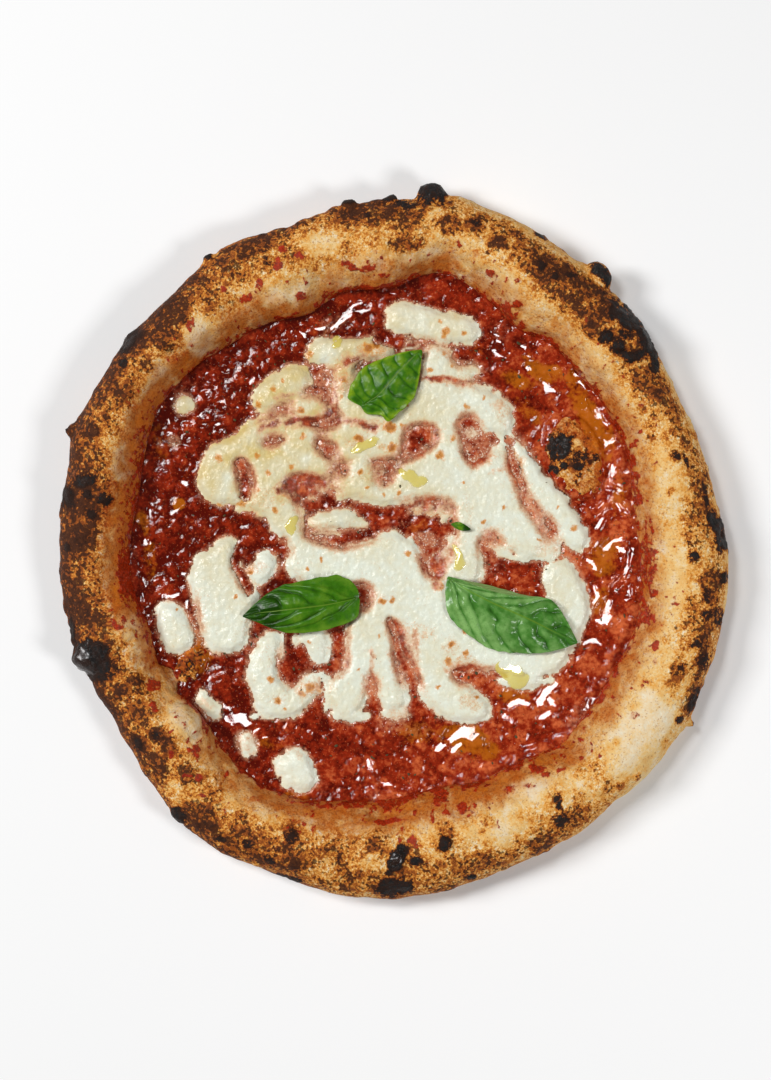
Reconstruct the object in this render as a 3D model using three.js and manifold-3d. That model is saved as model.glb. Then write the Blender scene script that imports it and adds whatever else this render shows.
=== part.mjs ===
// A Neapolitan margherita pizza, whole and uncut: a thin dough disc with a tall puffy rim, a layer of
// tomato sauce, melted mozzarella, basil leaves and a few pools of olive oil. Millimetres, +Z up. The pizza
// rests on the plane z = 0, with its origin under the centre of its outline.
import * as THREE from "three";
import { mergeVertices } from "three/addons/utils/BufferGeometryUtils.js";
import Module from "manifold-3d";

const wasm = await Module();
wasm.setup();

// ---------------------------------------------------------------- driving dimensions

const GAP = 0.3; // free space between one layer and the next
const DISC_TOP = 4; // dough disc under the sauce
const SAUCE_DEPTH = 2; // sauce where mozzarella lies on it
const SAUCE_SWELL = 1.3; // how far tomato pulp stands above or below that
const SAUCE_INSET = 1.1; // sauce stops this far from the foot of the rim
const CHEESE_DEPTH = 2.3; // a wide pool of mozzarella at its middle
const CHEESE_EDGE = 2.6; // distance over which a pool reaches most of its depth
const OIL_DEPTH = 0.9;
const LEAF_THICKNESS = 0.7;

const SAUCE_BOTTOM = DISC_TOP + GAP;
const SAUCE_TOP = SAUCE_BOTTOM + SAUCE_DEPTH;
const CHEESE_BOTTOM = SAUCE_TOP + GAP;
const CHEESE_TOP = CHEESE_BOTTOM + CHEESE_DEPTH;

// Radius of the rim at its widest, and of the foot of its inner wall, each 10 degrees anticlockwise from +X.
const OUTER_RADII = [
  153.5, 148.5, 147.5, 148, 150, 151.5, 155, 158, 160.5, 156, 155, 152, 156, 152, 153, 153, 154.5, 152.5,
  154, 153.5, 154.5, 152.5, 155, 160.5, 164, 162, 164.5, 165, 162.5, 159.5, 160, 158, 159.5, 159, 157, 156.5,
];
const FOOT_RADII = [
  113, 112.5, 115.5, 115.5, 115, 116.5, 113.5, 120.5, 125.5, 117, 117.5, 111.5, 116, 117.5, 122, 124, 121.5, 119,
  121, 122, 119, 122, 119.5, 122.5, 126.5, 127, 121.5, 119, 115.5, 118, 117, 121.5, 119.5, 118, 119, 116,
];
// Height of the rim's crest, one value each 30 degrees.
const CREST_HEIGHTS = [24.5, 24, 27, 25, 24, 25.5, 23.5, 23, 24, 26, 25, 23.5];
const CREST_SHARE = 0.56; // where the crest lies between the foot and the outline
const WIDEST_SHARE = 0.44; // height of the rim's widest line, as a share of the crest's
const UNDERCUT = 17; // how far the outline overhangs the flat underside
const LUMP = 0.8; // unevenness of the rim's surface

// Broad swellings of the rim: [x, y, radius, height].
const SWELLINGS = [
  [-52, 112, 17, 3.2], [-8, 122, 16, 3.6], [-95, -86, 15, 3.4], [-88, 96, 13, 2.4], [62, 118, 16, 2.6],
  [104, 98, 18, 2.4], [-124, -36, 13, 2.4], [118, -62, 17, 2.2], [104, -98, 15, 2.4], [40, -128, 17, 2.2],
  [-36, -134, 17, 2.4], [130, 30, 18, 2], [-134, 34, 15, 1.8], [-4, -132, 12, 1.8],
];
// Creases that run down the inner wall: [x, y, radius, depth].
const CREASES = [
  [-33, 118, 7, 3.4], [24, 127, 8, 2.6], [44, 114, 8, 3.2], [-78, 90, 8, 2.6], [-110, -62, 7, 2.8],
  [-76, -100, 8, 2.6], [84, -96, 9, 2.2], [0, -124, 8, 1.8], [128, -38, 8, 1.4],
];
// Burst and charred blisters that stand out of the rim: [x, y, z, half length, half width, half height,
// turn in degrees].
const BLISTERS = [
  [18, 157.5, 15, 7.2, 6.6, 6, 0], [94.5, 121.5, 15, 7.6, 5.4, 6, -50], [-138, -54, 16, 9.2, 6.6, 6, -8],
  [1, -158, 14, 6.8, 6.2, 5, 4], [2, -146, 23, 3.6, 6.5, 4.6, -28], [-146.5, 51, 12, 5, 3.4, 3.6, 40],
  [138, -84.5, 11, 4, 2.4, 2.6, -35], [-1, 155.5, 15, 3.4, 2.6, 3, 0], [-20, 153.5, 15, 5, 2.6, 3, 10],
  [-84, 129, 14, 3.4, 2.4, 3, 50], [-98, -125, 13, 4.6, 3.6, 4, -45], [23, -137, 26, 3.8, 3.6, 3.2, 0],
  [103, 89, 25, 3.4, 3.2, 3.6, 0], [97, 92, 25, 3, 2.8, 3.4, 0], [76.5, 44, 8.6, 6.6, 5.2, 2.8, 15],
];
// Bubbles of the disc that stand through the sauce, bare of it: [x, y, half length, half width, height
// above the disc, turn].
const BUBBLES = [
  [84, 39, 22, 14, 6, 110], [-94, -57, 9.5, 7, 3.4, 22],
];

// Shreds of mozzarella that melted together, each a tapered bar: [x, y, half width, x, y, half width].
const MAIN_SHREDS = [
  [-79, 37, 8.5, -82, 26, 8], [-76, 40, 6, -60, 44, 11], [-60, 46, 11, -50, 48, 10.5],
  [-50, 46, 10, -38, 42, 10], [-40, 43, 9.5, -20, 45, 8.5], [-56, 32, 9, -36, 34, 8],
  [-80, 23, 6.5, -56, 21, 7.5], [-54, 16, 8, -47, 5, 6], [-20, 45, 8.5, -2, 45, 8.5],
  [-18, 27, 6.5, -7, 21, 5], [-6, 22, 5, 8, 25, 8], [10, 30, 9, 24, 31, 12], [24, 46, 9, 24, 34, 10],
  [-14, 58, 7, 12, 61, 11], [12, 62, 10, 38, 61, 11], [38, 61, 11, 47, 57, 10], [20, 84, 6.5, 20, 72, 7.5],
  [23, 79, 5.5, 35, 78, 5], [-33, 88, 7, -9, 90, 5.5], [-24, 84, 6, -22, 70, 6.5],
  [-22, 70, 6.5, -18, 60, 6], [-9, 90, 5, -1, 84, 4], [46, 38, 8, 48, 24, 11.5], [48, 24, 11.5, 62, 1, 10],
  [36, 20, 8, 37, 2, 6.5], [36, 2, 6, 33, -12, 6.5], [53, 43, 4.5, 65, 29, 5], [57, 41, 4, 65, 37, 3.6],
  [65, 29, 5, 78, 14, 7.5], [78, 14, 7.5, 85, 1, 6.5], [-39, -9, 9, -18, -13, 9], [-18, -12, 9, 0, -9, 12],
  [0, -9, 12, 6, -12, 12], [8, -26, 17, 24, -34, 12], [33, -12, 7, 28, -28, 11], [-14, -36, 6, -18, -52, 6],
  [-18, -52, 6, -21, -72, 9], [-5, -38, 7, -4, -58, 6.5], [-4, -58, 6.5, 0, -73, 6.5],
  [20, -42, 11, 22, -58, 12], [22, -58, 12, 28, -74, 9], [28, -74, 9, 38, -77, 7.5],
  [30, -46, 9, 42, -52, 7.5], [78, -17, 8.5, 83, -32, 8.5], [83, -32, 8.5, 74, -50, 9],
  [74, -50, 9, 58, -58, 9.5], [58, -58, 9.5, 42, -50, 8], [-34, -20, 8, -37, -42, 6],
  [-37, -42, 6, -34, -52, 5],
];
// Places where the sauce shows through that pool, in the same form.
const MAIN_GAPS = [
  [-60, 44, 1.6, -50, 48, 2], [-34, 45, 2.8, -27, 40, 2.4], [-71, 36, 1.6, -67, 27, 3],
  [-49, 27, 2, -36, 27, 2.8], [-40, 20, 2, -22, 17, 2.8], [-22, 17, 2.8, -6, 12, 5],
  [-6, 12, 5.5, 8, 10, 4.5], [-21, 36, 1.4, -24, 24, 2], [-8, 35, 3.5, -4, 29, 4], [0, 36, 1.4, 9, 40, 2],
  [9, 41, 2, 13, 47, 5], [11, 48, 5, 17, 49, 4.5], [34, 54, 4.5, 39, 44, 6], [39, 44, 6, 46, 46, 4],
  [56, 26, 1.4, 62, 17, 1.8], [62, 17, 1.8, 71, 7, 2.8], [71, 7, 2.8, 77, -3, 3.4], [43, 0, 3, 60, -17, 9],
  [27, -3, 2.6, 16, -5, 3], [16, -5, 3, 18, -18, 1.5], [-26, -43, 3.5, -25, -57, 4],
  [-12, -53, 1, -9, -70, 2], [1, -38, 1.4, 5, -56, 3.6], [5, -56, 3.6, 10, -76, 4],
  [27, -62, 1.4, 50, -66, 5.5], [-29, 71, 2, -31, 78, 3], [37, 91, 4, 33, 86, 5.5],
  [16, 75.5, 0.8, 37, 72, 1.4], [-14, -22, 2.5, -12, -27, 2.5],
];
// Pools that stand apart from it: name, and their shreds.
const SMALL_POOLS = [
  ["mozzarella_top", [[4, 103, 7.5, 33, 96.5, 6.8]]],
  ["mozzarella_upper_left", [[-59, 66, 6.5, -45, 74, 7.5]]],
  ["mozzarella_upper_middle", [[-41, 61, 4.6, -33, 60.5, 4.6]]],
  ["mozzarella_centre_tongue", [[-34, 8, 4.6, -22, 10.5, 4.2], [-22, 10.5, 4.2, -12, 7, 2]]],
  ["mozzarella_left", [
    [-75, -3, 5.5, -81, -14, 12], [-81, -16, 13, -77, -42, 11], [-78, -24, 12, -68, -27, 7],
  ]],
  ["mozzarella_left_drop", [[-58, -10, 5.2, -61, -15, 5.8]]],
  ["mozzarella_far_left", [[-103.5, -34.5, 6.8, -99.5, -44.5, 8]]],
  ["mozzarella_hook", [
    [-57, -46, 5, -60.5, -62, 6.5], [-60.5, -62, 6.5, -56, -74, 8], [-56, -74, 8, -46, -77.5, 5.5],
    [-46, -75, 4, -39, -68, 6],
  ]],
  ["mozzarella_bottom", [[-45, -103, 7.5, -42, -109, 7.5]]],
  ["mozzarella_bottom_streak", [[-89, -72, 3, -83, -79, 4]]],
  ["mozzarella_bottom_drop", [[-68, -92, 4, -66, -97, 3.4]]],
  ["mozzarella_left_bead", [[-97, 62.5, 4, -95, 62, 4]]],
];
const SHRED_BLEND = 2.5; // how softly two shreds run together
const EDGE_WAVE = 0.4; // waviness of a pool's outline

// Pools of olive oil on the mozzarella: name, and their shreds.
const OIL_POOLS = [
  ["olive_oil_right", [[49, -58, 3, 58, -64, 5.2]]],
  ["olive_oil_drip", [[29, -3, 2, 31, -11, 3.4]]],
  ["olive_oil_centre", [[5, 31, 3, 13, 27, 3.2]]],
  ["olive_oil_upper_middle", [[-19, 41, 2, -8, 46, 2.8]]],
  ["olive_oil_top", [[-25, 93, 2.6, -27, 89, 1.8]]],
  ["olive_oil_left", [[-46, 10, 3, -47, 4, 2.6]]],
];

// Basil: its midrib and its edges to the left and right of it, each from base to tip in plan, then the arch
// of the midrib and the droop of the edges.
const LEAVES = [
  {
    name: "basil_leaf_top",
    midrib: [
      [-14.4, 61.7], [-10, 64.6], [-6, 67.4], [-2, 71.9], [2, 76.6], [6, 80.8], [10, 84.8], [13.5, 87.6],
    ],
    left: [
      [-14.9, 62.1], [-19.6, 64.6], [-20.4, 67.4], [-18, 73.5], [-12.5, 80.2], [-4, 84], [5, 86.8],
      [13.3, 88],
    ],
    right: [
      [-14.2, 61], [-11.5, 58.2], [-5.8, 57.8], [-1.6, 55], [5, 60.6], [10.2, 66.8], [12.6, 77],
      [13.8, 87.2],
    ],
    arch: 2.4,
    droop: 1.8,
  },
  {
    name: "basil_leaf_left",
    midrib: [
      [-15.5, -26.2], [-24, -28.3], [-32, -29.8], [-40, -30.8], [-48, -31.7], [-54, -32.5], [-61, -33.3],
      [-69, -34.9],
    ],
    left: [
      [-15, -27.2], [-16.5, -35.5], [-26, -39.8], [-37, -42.2], [-48, -42.4], [-56, -40.3], [-62.5, -37.6],
      [-68.9, -35.2],
    ],
    right: [
      [-15.2, -25.2], [-17.5, -20.2], [-24, -16.2], [-33, -16.8], [-43, -18.8], [-52, -21.2], [-60, -26.2],
      [-68.9, -34.5],
    ],
    arch: 4,
    droop: 3,
  },
  {
    name: "basil_leaf_right",
    midrib: [
      [25.4, -16.8], [30, -20], [38, -24.5], [47, -29], [56, -33], [65, -37.2], [75, -42.3], [85.2, -47],
    ],
    left: [
      [25.8, -16.5], [33, -18.2], [42, -20], [52, -22.6], [62, -25.4], [73.5, -27.6], [80, -36.5],
      [85.2, -46.5],
    ],
    right: [
      [25.2, -17.2], [24.3, -25.5], [26.5, -35.5], [35, -43.5], [46, -50], [60, -52], [73, -51.2],
      [85, -47.4],
    ],
    arch: 4.4,
    droop: 3.4,
  },
  {
    name: "basil_scrap",
    midrib: [[27, 7.6], [30, 6.8], [33, 5.9], [36, 5]],
    left: [[27.2, 7.9], [30.2, 8.6], [33.3, 7.4], [36.1, 5.3]],
    right: [[26.9, 7.3], [29.6, 5.3], [32.6, 4.4], [35.9, 4.7]],
    arch: 0.8,
    droop: 0.3,
  },
];
const LEAF_BOTTOM = CHEESE_TOP + 2 * GAP; // lowest point of a leaf

// Mesh fineness.
const RIM_SEGMENTS = 96;
const SAUCE_CELL = 7;
const CHEESE_CELL = 3.65;
const OIL_CELL = 2.4;
const LEAF_STRIP = 4.2; // width of a strip of a leaf
const LEAF_STEP = 4.6;

const COLOURS = { crust: 0xc98f52, sauce: 0x8e1d10, mozzarella: 0xe9e3c9, basil: 0x2f6b14, oil: 0xc9b13a };
const ROUGHNESS = { crust: 0.8, sauce: 0.25, mozzarella: 0.4, basil: 0.4, oil: 0.08 };

// ---------------------------------------------------------------- small functions

const radians = THREE.MathUtils.degToRad;
const smoothstep = THREE.MathUtils.smoothstep;

// A smooth closed curve of values set at equal angles, as a function of the angle in radians.
function aroundRim(values) {
  const n = values.length;
  return (angle) => {
    const turn = (((angle / (2 * Math.PI)) % 1) + 1) % 1;
    const i = Math.floor(turn * n);
    const t = turn * n - i;
    const [a, b, c, d] = [-1, 0, 1, 2].map((k) => values[(i + k + n) % n]);
    return b + 0.5 * t * (c - a + t * (2 * a - 5 * b + 4 * c - d + t * (3 * (b - c) + d - a)));
  };
}

const outerRadius = aroundRim(OUTER_RADII);
const footRadius = aroundRim(FOOT_RADII);
const crestHeight = aroundRim(CREST_HEIGHTS);

// Uneven surface of about one unit's height, by three crossing waves.
function ripple(x, y, length) {
  const k = (2 * Math.PI) / length;
  return (
    (Math.sin(k * (0.83 * x + 0.56 * y) + 1.3) +
      Math.sin(1.31 * k * (0.88 * y - 0.47 * x) + 4.1) +
      Math.sin(0.77 * k * (0.97 * x - 0.24 * y) + 2.2)) /
    3
  );
}

// Depth inside a tapered bar: positive inside, and zero on its outline.
function depthInBar([ax, ay, ra, bx, by, rb], x, y) {
  const [dx, dy] = [bx - ax, by - ay];
  const t = THREE.MathUtils.clamp(((x - ax) * dx + (y - ay) * dy) / (dx * dx + dy * dy), 0, 1);
  return ra + (rb - ra) * t - Math.hypot(x - ax - t * dx, y - ay - t * dy);
}

function smoothMax(a, b, k) {
  const h = Math.max(k - Math.abs(a - b), 0) / k;
  return Math.max(a, b) + (h * h * k) / 4;
}

// Depth inside shreds that have melted together, less the gaps between them.
function depthInPool(shreds, gaps = []) {
  return (x, y) => {
    let depth = -1e3;
    for (const shred of shreds) depth = smoothMax(depth, depthInBar(shred, x, y), SHRED_BLEND);
    for (const gap of gaps) depth = -smoothMax(-depth, depthInBar(gap, x, y), 1);
    return depth + EDGE_WAVE * ripple(x, y, 14);
  };
}

// Depth inside an ellipse of the plan.
function depthInEllipse(cx, cy, a, b, turn, x, y) {
  const [c, s] = [Math.cos(radians(turn)), Math.sin(radians(turn))];
  const [u, v] = [(c * (x - cx) + s * (y - cy)) / a, (c * (y - cy) - s * (x - cx)) / b];
  return (1 - Math.hypot(u, v)) * Math.min(a, b);
}

// ---------------------------------------------------------------- solids and meshes

// A geometry with only positions, its shared vertices merged.
function welded(geometry) {
  const bare = geometry.clone();
  bare.deleteAttribute("normal");
  bare.deleteAttribute("uv");
  return mergeVertices(bare, 1e-4);
}

function solidOf(geometry) {
  const g = welded(geometry);
  return new wasm.Manifold(
    new wasm.Mesh({
      numProp: 3,
      vertProperties: new Float32Array(g.attributes.position.array),
      triVerts: new Uint32Array(g.index.array),
    }),
  );
}

function geometryOf(solid) {
  const { numProp, vertProperties, triVerts } = solid.getMesh();
  const positions = new Float32Array((vertProperties.length / numProp) * 3);
  for (let i = 0; i < positions.length / 3; i++)
    positions.set(vertProperties.subarray(i * numProp, i * numProp + 3), i * 3);
  return new THREE.BufferGeometry()
    .setAttribute("position", new THREE.BufferAttribute(positions, 3))
    .setIndex(new THREE.BufferAttribute(triVerts, 1));
}

function nodeOf(name, geometry, kind) {
  const flat = geometry.index ? geometry.toNonIndexed() : geometry;
  flat.computeVertexNormals();
  const material = new THREE.MeshStandardMaterial({
    color: COLOURS[kind],
    roughness: ROUGHNESS[kind],
    metalness: 0,
    flatShading: true,
  });
  const mesh = new THREE.Mesh(flat, material);
  mesh.name = name;
  return mesh;
}

// ---------------------------------------------------------------- crust

const UNDERSIDE_STEPS = 4;
const OUTSIDE_STEPS = 6;
const INSIDE_STEPS = 7;
const SECTION_POINTS = UNDERSIDE_STEPS + OUTSIDE_STEPS + INSIDE_STEPS + 3;

// Section of the rim at an angle, from the middle of the underside round the outside to the middle of the
// disc's top: pairs of radius and height.
function rimSection(angle) {
  const [outer, foot, crest] = [outerRadius(angle), footRadius(angle), crestHeight(angle)];
  const crestRadius = foot + (outer - foot) * CREST_SHARE;
  const widest = crest * WIDEST_SHARE;
  const points = [[0, 0]];
  for (let i = 0; i < UNDERSIDE_STEPS; i++) {
    const a = ((i / UNDERSIDE_STEPS) * Math.PI) / 2;
    points.push([outer - UNDERCUT * (1 - Math.sin(a)), widest * (1 - Math.cos(a))]);
  }
  for (let i = 0; i < OUTSIDE_STEPS; i++) {
    const a = ((i / OUTSIDE_STEPS) * Math.PI) / 2;
    points.push([crestRadius + (outer - crestRadius) * Math.cos(a), widest + (crest - widest) * Math.sin(a)]);
  }
  for (let i = 0; i <= INSIDE_STEPS; i++) {
    const a = ((i / INSIDE_STEPS) * Math.PI) / 2;
    const fall = Math.cos(a) ** 1.1;
    const inset = Math.sin(a) ** 1.15;
    points.push([crestRadius - (crestRadius - foot) * inset, DISC_TOP + (crest - DISC_TOP) * fall]);
  }
  points.push([0, DISC_TOP]);
  return points;
}

// How far the rim's surface stands out at a point: its lumps, swellings and creases. It is nothing at the
// foot and below the widest line, so that the sauce meets a clean edge and the underside stays flat.
function rimRelief(x, y, z, angle) {
  const reach = smoothstep(z, DISC_TOP + 1, DISC_TOP + 9);
  let relief = LUMP * ripple(angle * 140, z, 24) + 0.5 * LUMP * ripple(angle * 140, z + 50, 13);
  for (const [cx, cy, radius, height] of SWELLINGS)
    relief += height * Math.exp(-(((x - cx) ** 2 + (y - cy) ** 2) / radius ** 2));
  for (const [cx, cy, radius, depth] of CREASES)
    relief -= depth * Math.exp(-(((x - cx) ** 2 + (y - cy) ** 2) / radius ** 2));
  return relief * reach;
}

function doughBody() {
  const placeholder = Array.from({ length: SECTION_POINTS }, (_, i) => new THREE.Vector2(i + 1, i));
  const lathe = new THREE.LatheGeometry(placeholder, RIM_SEGMENTS);
  const position = lathe.attributes.position;
  for (let i = 0; i < position.count; i++) {
    const angle = (2 * Math.PI * (Math.floor(i / SECTION_POINTS) % RIM_SEGMENTS)) / RIM_SEGMENTS;
    const [r, z] = rimSection(angle)[i % SECTION_POINTS];
    const [foot, outer] = [footRadius(angle), outerRadius(angle)];
    const core = foot + (outer - foot) * CREST_SHARE;
    const out = new THREE.Vector2(r - core, z - crestHeight(angle) * WIDEST_SHARE).normalize();
    const relief = rimRelief(r * Math.cos(angle), r * Math.sin(angle), z, angle);
    const [rr, zz] = [r + out.x * relief, z + out.y * relief];
    position.setXYZ(i, rr * Math.cos(angle), rr * Math.sin(angle), zz);
  }
  return solidOf(lathe);
}

function ellipsoid(x, y, z, a, b, c, turn, segments = 12) {
  const ball = new THREE.SphereGeometry(1, segments, Math.round(segments * 0.6));
  ball.rotateX(Math.PI / 2);
  ball.scale(a, b, c);
  ball.rotateZ(radians(turn));
  ball.translate(x, y, z);
  return solidOf(ball);
}

function crust() {
  let solid = doughBody();
  for (const blister of BLISTERS) solid = solid.add(ellipsoid(...blister));
  for (const [x, y, a, b, height, turn] of BUBBLES)
    solid = solid.add(ellipsoid(x, y, DISC_TOP - 1, a, b, height + 1, turn, 18).trimByPlane([0, 0, 1], 1));
  return nodeOf("crust", geometryOf(solid), "crust");
}

// ---------------------------------------------------------------- poured and melted layers

// A closed solid over the part of the plan where depthAt is positive: flat below, topAt(x, y, depth) above,
// and thinning to nothing at its outline. Its top is a grid cut along the outline, and its underside fills
// the outline.
function poured(depthAt, reach, cell, bottom, topAt) {
  const points = [];
  const known = new Map();
  const triangles = [];
  const [low, high] = [new THREE.Vector2(...reach[0]), new THREE.Vector2(...reach[1])];
  const columns = Math.ceil((high.x - low.x) / cell);
  const rows = Math.ceil((high.y - low.y) / cell);
  const place = (i, j) => [low.x + i * cell, low.y + j * cell];
  const depth = Array.from({ length: (columns + 1) * (rows + 1) }, (_, k) =>
    depthAt(...place(k % (columns + 1), Math.floor(k / (columns + 1)))),
  );
  const depthOf = (i, j) => depth[j * (columns + 1) + i];
  const vertex = (key, x, y, z) => {
    if (!known.has(key)) {
      known.set(key, points.length);
      points.push([x, y, z]);
    }
    return known.get(key);
  };
  const corner = ([i, j]) => {
    const [x, y] = place(i, j);
    return vertex(`${i},${j}`, x, y, topAt(x, y, depthOf(i, j)));
  };
  const crossing = (a, b) => {
    const [p, q] = a[0] < b[0] || a[1] < b[1] ? [a, b] : [b, a];
    const [dp, dq] = [depthOf(...p), depthOf(...q)];
    const t = THREE.MathUtils.clamp(dp / (dp - dq), 0.12, 0.88);
    const [[px, py], [qx, qy]] = [place(...p), place(...q)];
    return vertex(`${p}|${q}`, px + t * (qx - px), py + t * (qy - py), bottom);
  };
  for (let j = 0; j < rows; j++)
    for (let i = 0; i < columns; i++) {
      const square = [[i, j], [i + 1, j], [i + 1, j + 1], [i, j + 1]];
      const first = square.findIndex((a) => depthOf(...a) > 0);
      if (first < 0) continue;
      const ring = [];
      square.forEach((_, k) => {
        const [a, b] = [square[(first + k) % 4], square[(first + k + 1) % 4]];
        const [inA, inB] = [depthOf(...a) > 0, depthOf(...b) > 0];
        if (inA) ring.push(corner(a));
        if (inA !== inB) ring.push(crossing(a, b));
      });
      for (let k = 1; k + 1 < ring.length; k++) triangles.push([ring[0], ring[k], ring[k + 1]]);
    }
  const [outline, ...holes] = outlinesOf(points, triangles);
  const flat = (loop) => loop.map((k) => new THREE.Vector2(points[k][0], points[k][1]));
  const order = [outline, ...holes].flat();
  for (const [a, b, c] of THREE.ShapeUtils.triangulateShape(flat(outline), holes.map(flat)))
    triangles.push([order[c], order[b], order[a]]);
  return new THREE.BufferGeometry()
    .setAttribute("position", new THREE.Float32BufferAttribute(points.flat(), 3))
    .setIndex(triangles.flat());
}

// The open edges of a sheet of triangles as closed loops of vertices, the largest first and the rest holes
// in it.
function outlinesOf(points, triangles) {
  const next = new Map();
  const sides = new Set(triangles.flatMap(([a, b, c]) => [`${a},${b}`, `${b},${c}`, `${c},${a}`]));
  for (const side of sides) {
    const [a, b] = side.split(",").map(Number);
    if (!sides.has(`${b},${a}`)) next.set(a, b);
  }
  const loops = [];
  while (next.size) {
    const loop = [];
    let k = next.keys().next().value;
    while (next.has(k)) {
      loop.push(k);
      const following = next.get(k);
      next.delete(k);
      k = following;
    }
    loops.push(loop);
  }
  const area = (loop) => THREE.ShapeUtils.area(loop.map((k) => ({ x: points[k][0], y: points[k][1] })));
  return loops.sort((a, b) => Math.abs(area(b)) - Math.abs(area(a)));
}

const inMainPool = depthInPool(MAIN_SHREDS, MAIN_GAPS);
const smallPools = SMALL_POOLS.map(([name, shreds]) => [name, shreds, depthInPool(shreds)]);

function inAnyPool(x, y) {
  return Math.max(inMainPool(x, y), ...smallPools.map(([, , depthAt]) => depthAt(x, y)));
}

function inSauce(x, y) {
  const wave = EDGE_WAVE * ripple(x, y, 23) - EDGE_WAVE;
  let depth = footRadius(Math.atan2(y, x)) - SAUCE_INSET - Math.hypot(x, y) + wave;
  for (const [cx, cy, a, b, , turn] of BUBBLES)
    depth = Math.min(depth, -depthInEllipse(cx, cy, a + SAUCE_INSET, b + SAUCE_INSET, turn, x, y));
  return depth;
}

// Top of the sauce: chunks of pulp stand proud of it only where no mozzarella lies near.
function sauceTop(x, y, depth) {
  const pulp = SAUCE_SWELL * (0.6 * ripple(x, y, 17) + 0.6 * ripple(y, x, 29));
  const free = inAnyPool(x, y) < -SAUCE_CELL;
  const edge = SAUCE_DEPTH * (1 - smoothstep(depth, 0, 6)) * 0.4;
  return SAUCE_TOP - edge + (free ? pulp : Math.min(pulp, 0) - 0.05);
}

function sauce() {
  const reach = Math.max(...FOOT_RADII) + SAUCE_CELL;
  const geometry = poured(inSauce, [[-reach, -reach], [reach, reach]], SAUCE_CELL, SAUCE_BOTTOM, sauceTop);
  return nodeOf("tomato_sauce", geometry, "sauce");
}

function reachOf(shreds, margin) {
  const x = shreds.flatMap(([ax, , ra, bx, , rb]) => [ax - ra, ax + ra, bx - rb, bx + rb]);
  const y = shreds.flatMap(([, ay, ra, , by, rb]) => [ay - ra, ay + ra, by - rb, by + rb]);
  return [
    [Math.min(...x) - margin, Math.min(...y) - margin],
    [Math.max(...x) + margin, Math.max(...y) + margin],
  ];
}

function cheeseTop(x, y, depth) {
  const swell = 0.25 * ripple(x + 40, y, 19);
  return CHEESE_BOTTOM + CHEESE_DEPTH * (1 - Math.exp(-(depth + 0.5) / CHEESE_EDGE)) * (1 + swell);
}

function pool(name, shreds, depthAt) {
  const reach = reachOf(shreds, CHEESE_CELL);
  return nodeOf(name, poured(depthAt, reach, CHEESE_CELL, CHEESE_BOTTOM, cheeseTop), "mozzarella");
}

function oil([name, shreds]) {
  const bottom = CHEESE_TOP + 2 * GAP;
  const top = (x, y, depth) => bottom + OIL_DEPTH * (1 - Math.exp(-(depth + 0.2) / 1.2));
  return nodeOf(name, poured(depthInPool(shreds), reachOf(shreds, OIL_CELL), OIL_CELL, bottom, top), "oil");
}

// ---------------------------------------------------------------- basil

function leaf({ name, midrib, left, right, arch, droop }) {
  const [middle, leftEdge, rightEdge] = [midrib, left, right].map(
    (line) => new THREE.SplineCurve(line.map(([x, y]) => new THREE.Vector2(x, y))),
  );
  const width = leftEdge.getPoint(0.5).distanceTo(rightEdge.getPoint(0.5));
  const strips = 2 * Math.max(1, Math.round(width / LEAF_STRIP / 2));
  const box = new THREE.BoxGeometry(1, 1, 1, strips, Math.ceil(middle.getLength() / LEAF_STEP), 1);
  const position = box.attributes.position;
  for (let i = 0; i < position.count; i++) {
    const u = position.getY(i) + 0.5;
    const v = -2 * position.getX(i); // positive to the left of the midrib
    const point = middle.getPoint(u).lerp((v < 0 ? rightEdge : leftEdge).getPoint(u), Math.abs(v));
    const span = Math.sin(Math.PI * u);
    const quilt = 0.1 * arch * Math.sin(u * 4 * Math.PI + Math.abs(v) * 2.4) * Math.abs(v) * span;
    const height = arch * span - droop * Math.abs(v) ** 1.6 * span + quilt;
    const z = LEAF_BOTTOM + 0.5 + LEAF_THICKNESS * (0.5 + position.getZ(i));
    position.setXYZ(i, point.x, point.y, z + height);
  }
  return nodeOf(name, geometryOf(solidOf(box)), "basil");
}

// ---------------------------------------------------------------- the pizza

const pizza = new THREE.Group();
pizza.add(crust());
pizza.add(sauce());
pizza.add(pool("mozzarella_main", MAIN_SHREDS, inMainPool));
for (const [name, shreds, depthAt] of smallPools) pizza.add(pool(name, shreds, depthAt));
for (const oilPool of OIL_POOLS) pizza.add(oil(oilPool));
for (const shape of LEAVES) pizza.add(leaf(shape));

// The origin goes under the centre of the outline.
const outline = new THREE.Box3().setFromObject(pizza);
pizza.position.set(-(outline.min.x + outline.max.x) / 2, -(outline.min.y + outline.max.y) / 2, 0);

export default pizza;
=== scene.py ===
"""A whole Neapolitan margherita pizza, dressed round its solids.

The rim, the sauce, the mozzarella, the oil and the basil are each a class. The first four take their form
from the solids, the leaves and the dough's bubbles from outlines of their own. Each then gets the fine
surface of the baked thing, and its finish. Places on the pizza are in millimetres from the middle of its
sauce, with X to the right and Y away from the eater, and heights are in millimetres above the board.
"""

import logging
import math
from dataclasses import dataclass, field
from enum import Enum
from typing import Callable, Sequence

import bpy
import numpy as np
from bpy.types import Material, Node, NodeSocket, NodeTree, Object
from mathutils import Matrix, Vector
from mathutils.bvhtree import BVHTree


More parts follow.
